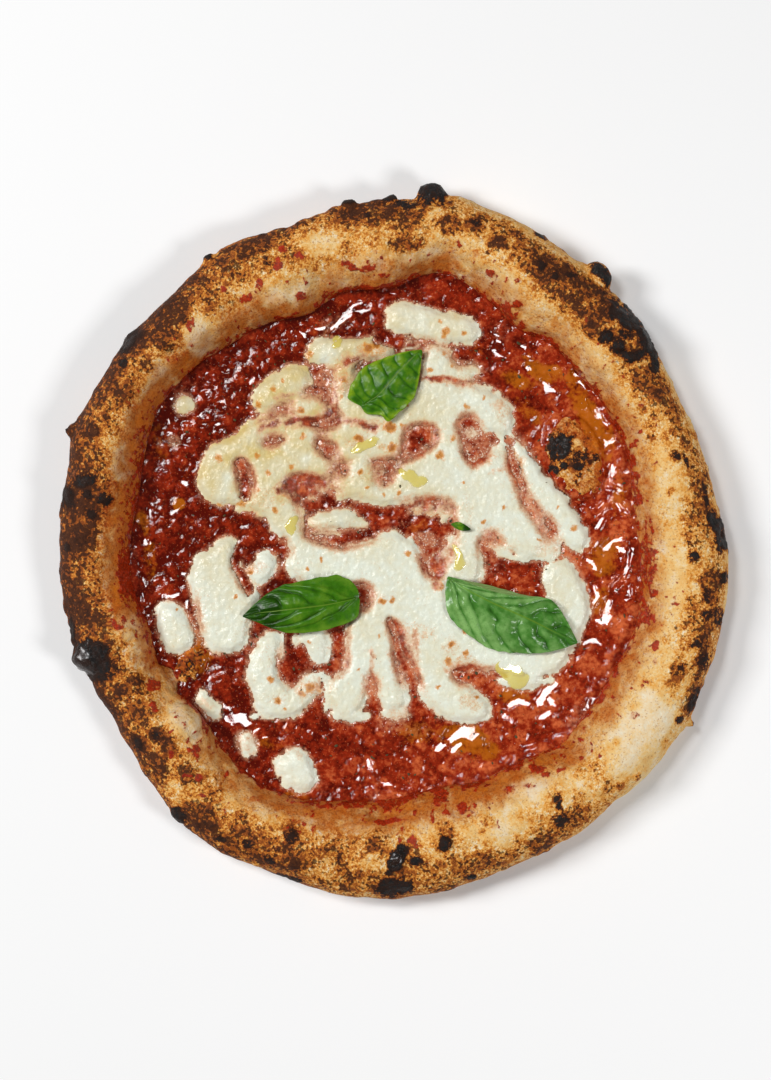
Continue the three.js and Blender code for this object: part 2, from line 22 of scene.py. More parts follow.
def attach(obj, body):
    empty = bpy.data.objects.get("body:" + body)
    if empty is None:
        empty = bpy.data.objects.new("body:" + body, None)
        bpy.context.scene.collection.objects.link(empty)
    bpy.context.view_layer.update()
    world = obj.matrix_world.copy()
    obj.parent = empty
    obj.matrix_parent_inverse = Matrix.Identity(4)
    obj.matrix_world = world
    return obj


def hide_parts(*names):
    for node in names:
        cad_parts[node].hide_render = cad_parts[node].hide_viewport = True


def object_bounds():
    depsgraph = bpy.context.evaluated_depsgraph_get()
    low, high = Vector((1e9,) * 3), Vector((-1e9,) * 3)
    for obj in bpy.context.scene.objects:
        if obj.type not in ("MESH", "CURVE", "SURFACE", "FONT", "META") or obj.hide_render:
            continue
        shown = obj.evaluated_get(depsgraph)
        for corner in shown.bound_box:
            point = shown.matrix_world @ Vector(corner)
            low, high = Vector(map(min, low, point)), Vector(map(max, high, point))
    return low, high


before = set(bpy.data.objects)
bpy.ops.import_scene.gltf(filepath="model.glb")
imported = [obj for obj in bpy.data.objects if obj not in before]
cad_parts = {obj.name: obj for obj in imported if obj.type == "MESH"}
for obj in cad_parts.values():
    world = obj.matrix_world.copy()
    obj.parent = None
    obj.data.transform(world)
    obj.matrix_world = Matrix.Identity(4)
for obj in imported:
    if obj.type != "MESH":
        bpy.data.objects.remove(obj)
CAD_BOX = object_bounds()

log = logging.getLogger("pizza")

Array = np.ndarray
Places = Sequence[Array]  # places along X, along Y and, where the height counts, along Z

MM = 0.001
MIDDLE = np.array([-0.71, 0.64, 0.0])  # the middle of the sauce, from the frame's origin, in millimetres

BOARD_TO_SAUCE = 6.3  # top of the sauce where mozzarella lies on it
SAUCE_FLOOR = 4.3
CHEESE_SINK = 5.0  # underside of the mozzarella, a little way into the sauce
LEAF_FLOOR = 10.35  # middle of a basil leaf's thickness at its lowest
DISC_TOP = 4.0

SAUCE_CELL = 0.65  # the sauce's lattice, wider than the others' since it covers the whole disc
UNDER_BLOCK = 8  # cells along a coarse face of a layer's underside
COVERED_BLOCK = 4  # cells along a coarse face of its top, where something else hides it
THINNEST = 0.05  # a layer's least thickness
SHARPEST = 66  # degrees from which a layer's edge isn't smoothed
RING_WIDTH = 0.75  # of toasted rings and of foam


class Slot(Enum):
    """The record's material slots."""

    CRUST = "crust"
    SAUCE = "tomato_sauce"
    MOZZARELLA = "mozzarella"
    OIL = "olive_oil"
    BASIL = "basil"


# ---------------------------------------------------------------- numbers


def linear(red: float, green: float, blue: float) -> tuple[float, float, float, float]:
    """Turns a colour as a screen shows it, 0 to 255, into the linear colour that a shader takes.

    Args:
        red: The red share.
        green: The green share.
        blue: The blue share.

    Returns:
        The colour as linear red, green, blue and alpha.
    """
    shares = [value / 255 for value in (red, green, blue)]
    made = [v / 12.92 if v <= 0.04045 else ((v + 0.055) / 1.055) ** 2.4 for v in shares]
    return (made[0], made[1], made[2], 1.0)


def smooth(value: Array | float, low: float, high: float) -> Array:
    """Eases from 0 at low to 1 at high, which may be the lower of the two."""
    share = np.clip((np.asarray(value, float) - low) / (high - low), 0, 1)
    return share * share * (3 - 2 * share)


def noise(at: Places, size: float, seed: int) -> Array:
    """Gradient noise at points in space.

    Args:
        at: The points.
        size: About how wide a lump is.
        seed: Which noise it is.

    Returns:
        Values from about -1 to 1.
    """
    mask = 0xFFFFFFFF
    place = [np.asarray(v, float) / size for v in np.broadcast_arrays(*at, 0.0)[:3]]
    cell = [np.floor(v).astype(np.int64) for v in place]
    part = [v - c for v, c in zip(place, cell)]
    fade = [t**3 * (t * (6 * t - 15) + 10) for t in part]
    total = np.zeros(place[0].shape)
    for corner in np.ndindex(2, 2, 2):
        key = np.full(total.shape, seed * 0x9E3779B1 & mask, np.int64)
        for c, step, prime in zip(cell, corner, (73856093, 19349663, 83492791)):
            key ^= (c + step) * prime & mask
        key = (key ^ (key >> 15)) * 0x2C1B3C6D & mask
        key = (key ^ (key >> 12)) * 0x297A2D39 & mask
        weight, slope = 1.0, 0.0
        for axis in range(3):
            lean = (key >> (8 * axis) & 255) / 127.5 - 1
            slope = slope + lean * (part[axis] - corner[axis])
            weight = weight * (fade[axis] if corner[axis] else 1 - fade[axis])
        total += weight * slope
    return 1.5 * total


def grained(base: Array | float, at: Places, *noises: tuple[float, float, int]) -> Array:
    """Adds several noises to a value.

    Args:
        base: The value.
        at: The points.
        noises: Each noise's strength, size and seed.

    Returns:
        The sum at each point.
    """
    for strength, size, seed in noises:
        base = base + strength * noise(at, size, seed)
    return base


def layered(at: Places, size: float, seed: int) -> Array:
    """Three noises, from size down, each half as large and half as strong as the last."""
    return sum(noise(at, size / 2**k, seed + 7 * k) / 2**k for k in range(3))


def blurred(values: Array, spread: float, axis: int, wraps: bool = False) -> Array:
    """Blurs an array along one axis.

    Args:
        values: The array.
        spread: Standard deviation of the blur, in cells.
        axis: Which axis.
        wraps: Whether its ends meet.

    Returns:
        The blurred array.
    """
    reach = int(3 * spread) + 1
    kernel = np.exp(-0.5 * (np.arange(-reach, reach + 1) / spread) ** 2)
    kernel /= kernel.sum()
    pad = [(0, 0)] * values.ndim
    pad[axis] = (reach, reach)
    padded = np.moveaxis(np.pad(values, pad, mode="wrap" if wraps else "edge"), axis, 0)
    count = values.shape[axis]
    total = sum(share * padded[k : k + count] for k, share in enumerate(kernel))
    return np.moveaxis(total, 0, axis)


def softened(values: Array, spread: float) -> Array:
    """Blurs a lattice of values both ways, by spread cells."""
    return blurred(blurred(values, spread, 0), spread, 1)


def in_oval(oval: Sequence[float], at: Places) -> tuple[Array, Array]:
    """Turns places into an oval's own frame.

    Args:
        oval: Its x, y, half length, half width and turn in degrees.
        at: The places.

    Returns:
        How far along and across the oval each lies, in half lengths and in half widths.
    """
    (cx, cy, half_length, half_width, turn), (x, y) = oval, at[:2]
    cosine, sine = math.cos(math.radians(turn)), math.sin(math.radians(turn))
    along = (cosine * (x - cx) + sine * (y - cy)) / half_length
    return along, (cosine * (y - cy) - sine * (x - cx)) / half_width


def marked(marks: Sequence[tuple], at: Places, wobble: Array | float, soft: float = 0.3) -> Array:
    """How strongly a point lies in one of several oval marks.

    Args:
        marks: Each mark's x, y, half length, half width, turn in degrees and strength.
        at: The points.
        wobble: What roughens the marks' edges, as a share of their size.
        soft: How far in and out from its edge a mark fades, as a share of its size.

    Returns:
        The strongest mark's share at each point.
    """
    found = np.zeros(np.shape(at[0]))
    for *oval, strength in marks:
        away = np.hypot(*in_oval(oval, at)) + wobble
        found = np.maximum(found, strength * smooth(away, 1 + soft, 1 - soft))
    return found


def ringed(rings: Sequence[tuple], at: Places) -> Array:
    """How strongly a point lies on one of several thin rings.

    Args:
        rings: Each ring's x, y and radius.
        at: The points.

    Returns:
        The share at each point, which is 1 in the middle of a ring's line.
    """
    found = np.zeros(np.shape(at[0]))
    for cx, cy, radius in rings:
        away = (np.hypot(at[0] - cx, at[1] - cy) - radius) / RING_WIDTH
        found = np.maximum(found, np.exp(-(away**2)))
    return found


def stroke(line: Sequence[tuple], at: Places) -> Array:
    """Distance from each point to a line in plan.

    Args:
        line: The places that the line joins.
        at: The points.

    Returns:
        The distances.
    """
    x, y = at
    nearest = np.full(np.shape(x), 1e3)
    for (ax, ay), (bx, by) in zip(line, line[1:]):
        dx, dy = bx - ax, by - ay
        share = np.clip(((x - ax) * dx + (y - ay) * dy) / (dx * dx + dy * dy), 0, 1)
        nearest = np.minimum(nearest, np.hypot(x - ax - share * dx, y - ay - share * dy))
    return nearest


def leaning(lines: Sequence[tuple], at: Places, wobble: Array, shine: Callable) -> tuple[Array, Array]:
    """Where a liquid stands smooth along several lines, and how it leans there so that it shines.

    Args:
        lines: Each line's half width and places.
        at: The points.
        wobble: What makes the lines wider and narrower.
        shine: Gives the slope along X and Y that shines at a place.

    Returns:
        How near each point lies to a line, from 0 to 1, and its height from the lean.
    """
    x, y = at
    found, lean = np.zeros(x.shape), np.zeros(x.shape)
    for half_width, line in lines:
        near = smooth(stroke(line, at) - half_width * (1 + wobble), 0.9, -0.3)
        middle = np.mean(line, axis=0)
        slope = shine(*middle)
        tilt = (x - middle[0]) * slope[0] + (y - middle[1]) * slope[1]
        lean = np.where(near > found, tilt, lean)
        found = np.maximum(found, near)
    return found, np.clip(lean, -1.3, 1.3)


def merged_high(one: Array, other: Array, softness: float) -> Array:
    """The higher of two surfaces, run together over softness."""
    near = np.maximum(softness - np.abs(one - other), 0) / softness
    return np.maximum(one, other) + near * near * softness / 4


# ---------------------------------------------------------------- solids and meshes


class Solid:
    """One of the frame's solids, for measuring, in the pizza's own millimetres."""

    def __init__(self, name: str) -> None:
        """Reads the solid of a node.

        Args:
            name: The node's name.
        """
        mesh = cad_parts[name].data
        points = [Vector(v.co / MM) - Vector(MIDDLE) for v in mesh.vertices]
        self.tree = BVHTree.FromPolygons(points, [tuple(p.vertices) for p in mesh.polygons])
        self.low = np.array(points).min(0)
        self.high = np.array(points).max(0)

    def reach(self, start: Sequence[float], way: Sequence[float]) -> float | None:
        """How far a ray from start goes along way before it meets the solid, or None where it misses."""
        return self.tree.ray_cast(Vector(start), Vector(way))[3]

    def tops(self, at: Places) -> Array:
        """Height of the solid's top at each point.

        Args:
            at: The points in plan.

        Returns:
            The heights, with NaN beside the solid.
        """
        (x, y), above = at, 50.0
        found = np.full(x.shape, np.nan)
        inside = (x > self.low[0]) & (x < self.high[0]) & (y > self.low[1]) & (y < self.high[1])
        for place in zip(*np.nonzero(inside)):
            fall = self.reach((x[place], y[place], above), (0, 0, -1))
            if fall is not None:
                found[place] = above - fall
        return found


@dataclass
class Lattice:
    """A square lattice over the pizza's plan, on which the layers' heights are worked out."""

    reach: float = 130.0
    cell: float = 0.55

    def __post_init__(self) -> None:
        """Lays out the lattice's points."""
        self.line = np.arange(-self.reach, self.reach, self.cell)
        self.plan = tuple(np.meshgrid(self.line, self.line))

    def at(self, values: Array, places: Places) -> Array:
        """Reads a lattice of values between its points.

        Args:
            values: One value at each lattice point.
            places: Where they are read.

        Returns:
            The values there.
        """
        most = len(self.line) - 2
        u, v = (np.clip((place + self.reach) / self.cell, 0, most + 0.999) for place in places)
        i, j = u.astype(int), v.astype(int)
        s, t = u - i, v - j
        below = values[j, i] * (1 - s) + values[j, i + 1] * s
        above = values[j + 1, i] * (1 - s) + values[j + 1, i + 1] * s
        return below * (1 - t) + above * t

    def sampled(self, solid: Solid, step: int) -> Array:
        """Height of a solid's top at every lattice point.

        Args:
            solid: The solid.
            step: Rays go down at every step-th lattice point.

        Returns:
            Heights, with 0 beside the solid.
        """
        coarse = np.nan_to_num(solid.tops([line[::step, ::step] for line in self.plan]))
        u = np.minimum(np.arange(len(self.line)) / step, len(coarse) - 1.001)
        i = u.astype(int)
        s = u - i
        rows = coarse[i] * (1 - s)[:, None] + coarse[i + 1] * s[:, None]
        return rows[:, i] * (1 - s) + rows[:, i + 1] * s


def cells_in(points: Array) -> Array:
    """Which of a lattice's cells have all four corners among the marked points."""
    return points[:-1, :-1] & points[1:, :-1] & points[:-1, 1:] & points[1:, 1:]


def faces_of(cells: Array, merged: Array, block: int) -> list[list[int]]:
    """Faces over a lattice's cells.

    Args:
        cells: Which cells have a face.
        merged: Which blocks of cells are one face, with the corners that their neighbours need.
        block: Cells along a block's side.

    Returns:
        Each face's corners, as numbers of lattice points.
    """
    width = cells.shape[1] + 1
    whole = np.zeros((cells.shape[0] + 2, cells.shape[1] + 2), bool)
    spread = np.kron(merged, np.ones((block, block), bool))
    whole[1 : 1 + spread.shape[0], 1 : 1 + spread.shape[1]] = spread
    rows, columns = np.nonzero(cells & ~whole[1:-1, 1:-1])
    start = rows * width + columns
    faces = np.stack([start, start + 1, start + width + 1, start + width], 1).tolist()
    spare = cells_in(whole)  # points inside merged blocks, which no small face needs
    steps = range(block)
    border = [(0, k) for k in steps] + [(k, block) for k in steps]
    border += [(block, block - k) for k in steps] + [(block - k, 0) for k in steps]
    for j, i in zip(*np.nonzero(merged)):
        ring = [(int(j) * block + up, int(i) * block + along) for up, along in border]
        needed = [p for k, p in enumerate(ring) if k % block == 0 or not spare[p]]
        faces.append([row * width + column for row, column in needed])
    return faces


def whole_blocks(cells: Array, block: int) -> Array:
    """Which blocks of a lattice are full of cells.

    Args:
        cells: The cells.
        block: Cells along a block's side.

    Returns:
        One mark for each block.
    """
    rows, columns = cells.shape[0] // block, cells.shape[1] // block
    cut = cells[: rows * block, : columns * block]
    return cut.reshape(rows, block, columns, block).all((1, 3))


def without_pinches(cells: Array) -> Array:
    """Adds cells where two would touch at a corner alone.

    Args:
        cells: The cells.

    Returns:
        The cells and those that were added.
    """
    made = cells.copy()
    for _ in range(3):
        a, b, c, d = made[:-1, :-1], made[:-1, 1:], made[1:, :-1], made[1:, 1:]
        pinch = (a & d & ~b & ~c) | (b & c & ~a & ~d)
        a |= pinch
        b |= pinch
    return made


def slab(cells: Array, covered: Array) -> tuple[list, list, list]:
    """A closed body's faces over a lattice's cells.

    Args:
        cells: Which cells it fills.
        covered: Which cells need no fine top.

    Returns:
        The faces of its top, of its underside, and its walls, each wall's corners as two of the top and then
        two of the underside.
    """
    top = faces_of(cells, whole_blocks(cells & covered, COVERED_BLOCK), COVERED_BLOCK)
    under = [face[::-1] for face in faces_of(cells, whole_blocks(cells, UNDER_BLOCK), UNDER_BLOCK)]
    padded = np.pad(cells, 1)
    width = cells.shape[1] + 1
    walls = []
    sides = [(0, -1, (0, 0), (0, 1)), (1, 0, (0, 1), (1, 1)), (0, 1, (1, 1), (1, 0)), (-1, 0, (1, 0), (0, 0))]
    for right, up, (aj, ai), (bj, bi) in sides:
        beside = padded[1 + up : 1 + up + cells.shape[0], 1 + right : 1 + right + cells.shape[1]]
        rows, columns = np.nonzero(cells & ~beside)
        a = (rows + aj) * width + columns + ai
        b = (rows + bj) * width + columns + bi
        walls += np.stack([b, a, a, b], 1).tolist()
    return top, under, walls


def piece(
    name: str,
    points: Array,
    faces: list,
    finish: Material,
    nodes: Sequence[str] = (),
    fields: dict[str, Array] | None = None,
) -> Object:
    """Makes one piece of the pizza, on its body.

    Args:
        name: The piece's name.
        points: Its vertices, in the pizza's millimetres.
        faces: Its faces.
        finish: Its material.
        nodes: The frame's nodes that it stands for.
        fields: Values that the material reads at each vertex.

    Returns:
        The piece.
    """
    mesh = bpy.data.meshes.new(name)
    mesh.from_pydata(((points + MIDDLE) * MM).tolist(), [], faces)
    for title, values in (fields or {}).items():
        made = mesh.attributes.new(title, "FLOAT", "POINT")
        made.data.foreach_set("value", np.ascontiguousarray(values, np.float32).ravel())
    mesh.materials.append(finish)
    mesh.shade_smooth()
    made = bpy.data.objects.new(name, mesh)
    bpy.context.scene.collection.objects.link(made)
    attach(made, "root")
    if nodes:
        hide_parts(*nodes)
    triangles = sum(len(p.vertices) - 2 for p in mesh.polygons)
    log.info("%s: %d triangles", name, triangles)
    return made


def layer(
    name: str,
    lattice: Lattice,
    cells: Array,
    heights: tuple[float, Array],
    finish: Material,
    nodes: Sequence[str],
    fields: dict[str, Array],
    covered: Array | None = None,
) -> None:
    """Makes a closed layer over some of the lattice's cells.

    Args:
        name: The piece's name.
        lattice: The lattice.
        cells: Which cells it fills.
        heights: Height of its flat underside, and of its top at each lattice point.
        finish: Its material.
        nodes: The frame's nodes that it stands for.
        fields: Values that the material reads, one at each lattice point.
        covered: Which cells something else hides.
    """
    cells = without_pinches(cells)
    tops, unders, walls = slab(cells, np.zeros_like(cells) if covered is None else covered)
    bottom, top = heights
    count = top.size
    faces = tops + [[k + count for k in face] for face in unders]
    faces += [[b, a, c + count, d + count] for b, a, c, d in walls]
    used = np.unique(np.concatenate([np.array(face) for face in faces]))
    renamed = np.full(2 * count, -1)
    renamed[used] = np.arange(len(used))
    floor = np.minimum(bottom, top - THINNEST)
    plan = [np.tile(line.ravel(), 2) for line in lattice.plan]
    points = np.stack([*plan, np.concatenate([top.ravel(), floor.ravel()])], 1)
    made = {title: np.tile(np.asarray(values).ravel(), 2)[used] for title, values in fields.items()}
    made = piece(name, points[used], [renamed[f].tolist() for f in faces], finish, nodes, made)
    made.data.set_sharp_from_angle(angle=math.radians(SHARPEST))


# ---------------------------------------------------------------- shader building


class Sketch:
    """A node tree that is being filled in."""

    def __init__(self, tree: NodeTree) -> None:
        """Takes the tree to fill in."""
        self.tree = tree

    def node(self, kind: str, sockets: dict | None = None, **settings: object) -> Node:
        """Adds a node.

        Args:
            kind: Its type.
            sockets: A value, or another node's output, for each input that isn't left alone.
            settings: The node's own settings.

        Returns:
            The node.
        """
        made = self.tree.nodes.new(kind)
        for name, value in settings.items():
            setattr(made, name, value)
        for key, value in (sockets or {}).items():
            if isinstance(value, NodeSocket):
                self.tree.links.new(value, made.inputs[key])
            else:
                made.inputs[key].default_value = value
        return made

    def sum(self, *terms: tuple) -> NodeSocket:
        """Adds values up.

        Args:
            terms: Each a value or output, and what it is multiplied by; a last lone number is added.

        Returns:
            The sum's output.
        """
        total = 0.0 if isinstance(terms[-1], tuple) else terms[-1]
        for value, share in (term for term in terms if isinstance(term, tuple)):
            sockets = {0: value, 1: share, 2: total}
            total = self.node("ShaderNodeMath", sockets, operation="MULTIPLY_ADD").outputs[0]
        return total

    def times(self, one: object, other: object) -> NodeSocket:
        """Multiplies two values."""
        return self.node("ShaderNodeMath", {0: one, 1: other}, operation="MULTIPLY").outputs[0]

    def blend(self, share: object, under: object, over: object) -> NodeSocket:
        """Mixes a colour over another by share."""
        made = self.node("ShaderNodeMix", {0: share, 6: under, 7: over}, data_type="RGBA", clamp_factor=True)
        return made.outputs[2]

    def stepped(self, value: object, low: object, high: object, most: object = 1.0) -> NodeSocket:
        """Eases from 0 at low to most at high.

        Args:
            value: What is compared.
            low: Where the rise starts.
            high: Where it ends, which may be below low.
            most: How far it rises.

        Returns:
            The eased value's output.
        """
        sockets = {0: value, 1: low, 2: high, 3: 0.0, 4: most}
        made = self.node("ShaderNodeMapRange", sockets, interpolation_type="SMOOTHSTEP")
        return made.outputs[0]

    def field(self, name: str) -> NodeSocket:
        """Reads one of a piece's own values."""
        return self.node("ShaderNodeAttribute", attribute_name=name).outputs["Fac"]

    def place(self) -> NodeSocket:
        """A point's place, in the object's own frame."""
        return self.node("ShaderNodeTexCoord").outputs["Object"]

    def lumps(self, size: float, detail: float = 2.0, seed: float = 0.0, rough: float = 0.5) -> NodeSocket:
        """Adds noise.

        Args:
            size: Width of its lumps in millimetres.
            detail: How many finer layers it has.
            seed: Which noise it is.
            rough: How strong the finer layers are.

        Returns:
            The noise, about 0.5.
        """
        sockets = {"Vector": self.place(), "W": seed, "Scale": 1 / (size * MM)}
        sockets |= {"Detail": detail, "Roughness": rough}
        return self.node("ShaderNodeTexNoise", sockets, noise_dimensions="4D").outputs[0]

    def ramp(self, value: object, *stops: tuple) -> NodeSocket:
        """A colour that goes through several.

        Args:
            value: Where along the ramp.
            stops: Each a place from 0 to 1 and its colour.

        Returns:
            The colour's output.
        """
        made = self.node("ShaderNodeValToRGB", {0: value})
        points = made.color_ramp.elements
        while len(points) < len(stops):
            points.new(0.5)
        for point, (at, colour) in zip(points, stops):
            point.position = at
            point.color = colour
        return made.outputs[0]


def new_group(name: str, takes: dict[str, float], gives: Sequence[str]) -> tuple[Sketch, dict, Node]:
    """Starts a node group whose sockets are plain numbers.

    Args:
        name: The group's name.
        takes: Each input's name and usual value.
        gives: Each output's name.

    Returns:
        The sketch of its tree, its inputs by name, and its output node.
    """
    tree = bpy.data.node_groups.new(name, "ShaderNodeTree")
    for title, usual in takes.items():
        made = tree.interface.new_socket(title, in_out="INPUT", socket_type="NodeSocketFloat")
        made.default_value = usual
    for title in gives:
        tree.interface.new_socket(title, in_out="OUTPUT", socket_type="NodeSocketFloat")
    sketch = Sketch(tree)
    start = sketch.node("NodeGroupInput")
    end = sketch.node("NodeGroupOutput")
    return sketch, {title: start.outputs[title] for title in takes}, end


def freckles_group() -> NodeTree:
    """Builds the group of freckles: spots that cover more of the surface the higher their level.

    Returns:
        The group, with Level, Scale, Seed and Edge in, and Mask out.
    """
    takes = {"Level": 0.5, "Scale": 900.0, "Seed": 0.0, "Edge": 0.05}
    sketch, given, end = new_group("freckles", takes, ["Mask"])
    sockets = {"Vector": sketch.place(), "W": given["Seed"], "Scale": given["Scale"], "Detail": 2.0}
    spots = sketch.node("ShaderNodeTexNoise", sockets, noise_dimensions="4D").outputs[0]
    bar = sketch.sum((given["Level"], -0.46), 0.73)
    high = sketch.sum((given["Edge"], 1.0), bar)
    low = sketch.sum((given["Edge"], -1.0), bar)
    sketch.tree.links.new(sketch.stepped(spots, low, high), end.inputs["Mask"])
    return sketch.tree


def relief_group() -> NodeTree:
    """Builds the group of fine relief: a coarse and a fine grain, and pores.

    Returns:
        The group, with Coarse and Fine scales and the Pores' depth in, and Height out.
    """
    takes = {"Coarse": 500.0, "Fine": 1600.0, "Pores": 0.5}
    sketch, given, end = new_group("relief", takes, ["Height"])
    place = sketch.place()
    grains = [
        sketch.node("ShaderNodeTexNoise", {"Vector": place, "Scale": given[n], "Detail": 3.0}).outputs[0]
        for n in ("Coarse", "Fine")
    ]
    dots = sketch.node("ShaderNodeTexVoronoi", {"Vector": place, "Scale": given["Coarse"]}).outputs[0]
    pit = sketch.times(sketch.stepped(dots, 0.28, 0.05), given["Pores"])
    height = sketch.sum((grains[0], 0.6), (grains[1], 0.4), (pit, -0.5))
    sketch.tree.links.new(height, end.inputs["Height"])
    return sketch.tree


@dataclass
class Effects:
    """The shader groups that the finishes share."""

    freckles: NodeTree = field(default_factory=freckles_group)
    relief: NodeTree = field(default_factory=relief_group)

    def freckled(self, sketch: Sketch, level: object, size: float, seed: float, edge: float = 0.05) -> object:
        """Adds freckles of a width in millimetres, which cover more of the surface the higher level is."""
        sockets = {"Level": level, "Scale": 1 / (size * MM), "Seed": seed, "Edge": edge}
        return sketch.node("ShaderNodeGroup", sockets, node_tree=self.freckles).outputs[0]

    def rough(self, sketch: Sketch, coarse: float, fine: float, pores: float) -> object:
        """Adds relief whose coarse and fine grains have these widths in millimetres, with pores."""
        sockets = {"Coarse": 1 / (coarse * MM), "Fine": 1 / (fine * MM), "Pores": pores}
        return sketch.node("ShaderNodeGroup", sockets, node_tree=self.relief).outputs[0]


def surface(
    sketch: Sketch, colour: object, roughness: object, height: object, depth: float, strength: float,
    **plain: object,
) -> None:
    """Ends a material with its shader.

    Args:
        sketch: The material's tree, which is empty of shaders.
        colour: The colour's output.
        roughness: The roughness, a number or an output.
        height: The output that the bump follows.
        depth: How many millimetres the bump stands for.
        strength: How much of it shows.
        plain: Values for the shader's own sockets, by their names with _ for a space.
    """
    bump = sketch.node("ShaderNodeBump", {"Height": height, "Distance": depth * MM, "Strength": strength})
    sockets = {"Base Color": colour, "Roughness": roughness, "Normal": bump.outputs[0]}
    sockets |= {name.replace("_", " "): value for name, value in plain.items()}
    shader = sketch.node("ShaderNodeBsdfPrincipled", sockets)
    out = sketch.node("ShaderNodeOutputMaterial")
    sketch.tree.links.new(shader.outputs[0], out.inputs[0])


def blank(name: str) -> tuple[Material, Sketch]:
    """Makes a material with an empty tree.

    Args:
        name: The material's name.

    Returns:
        The material, and the sketch of its tree.
    """
    made = bpy.data.materials.new(name)
    made.use_nodes = True
    made.node_tree.nodes.clear()
    return made, Sketch(made.node_tree)


# ---------------------------------------------------------------- finishes


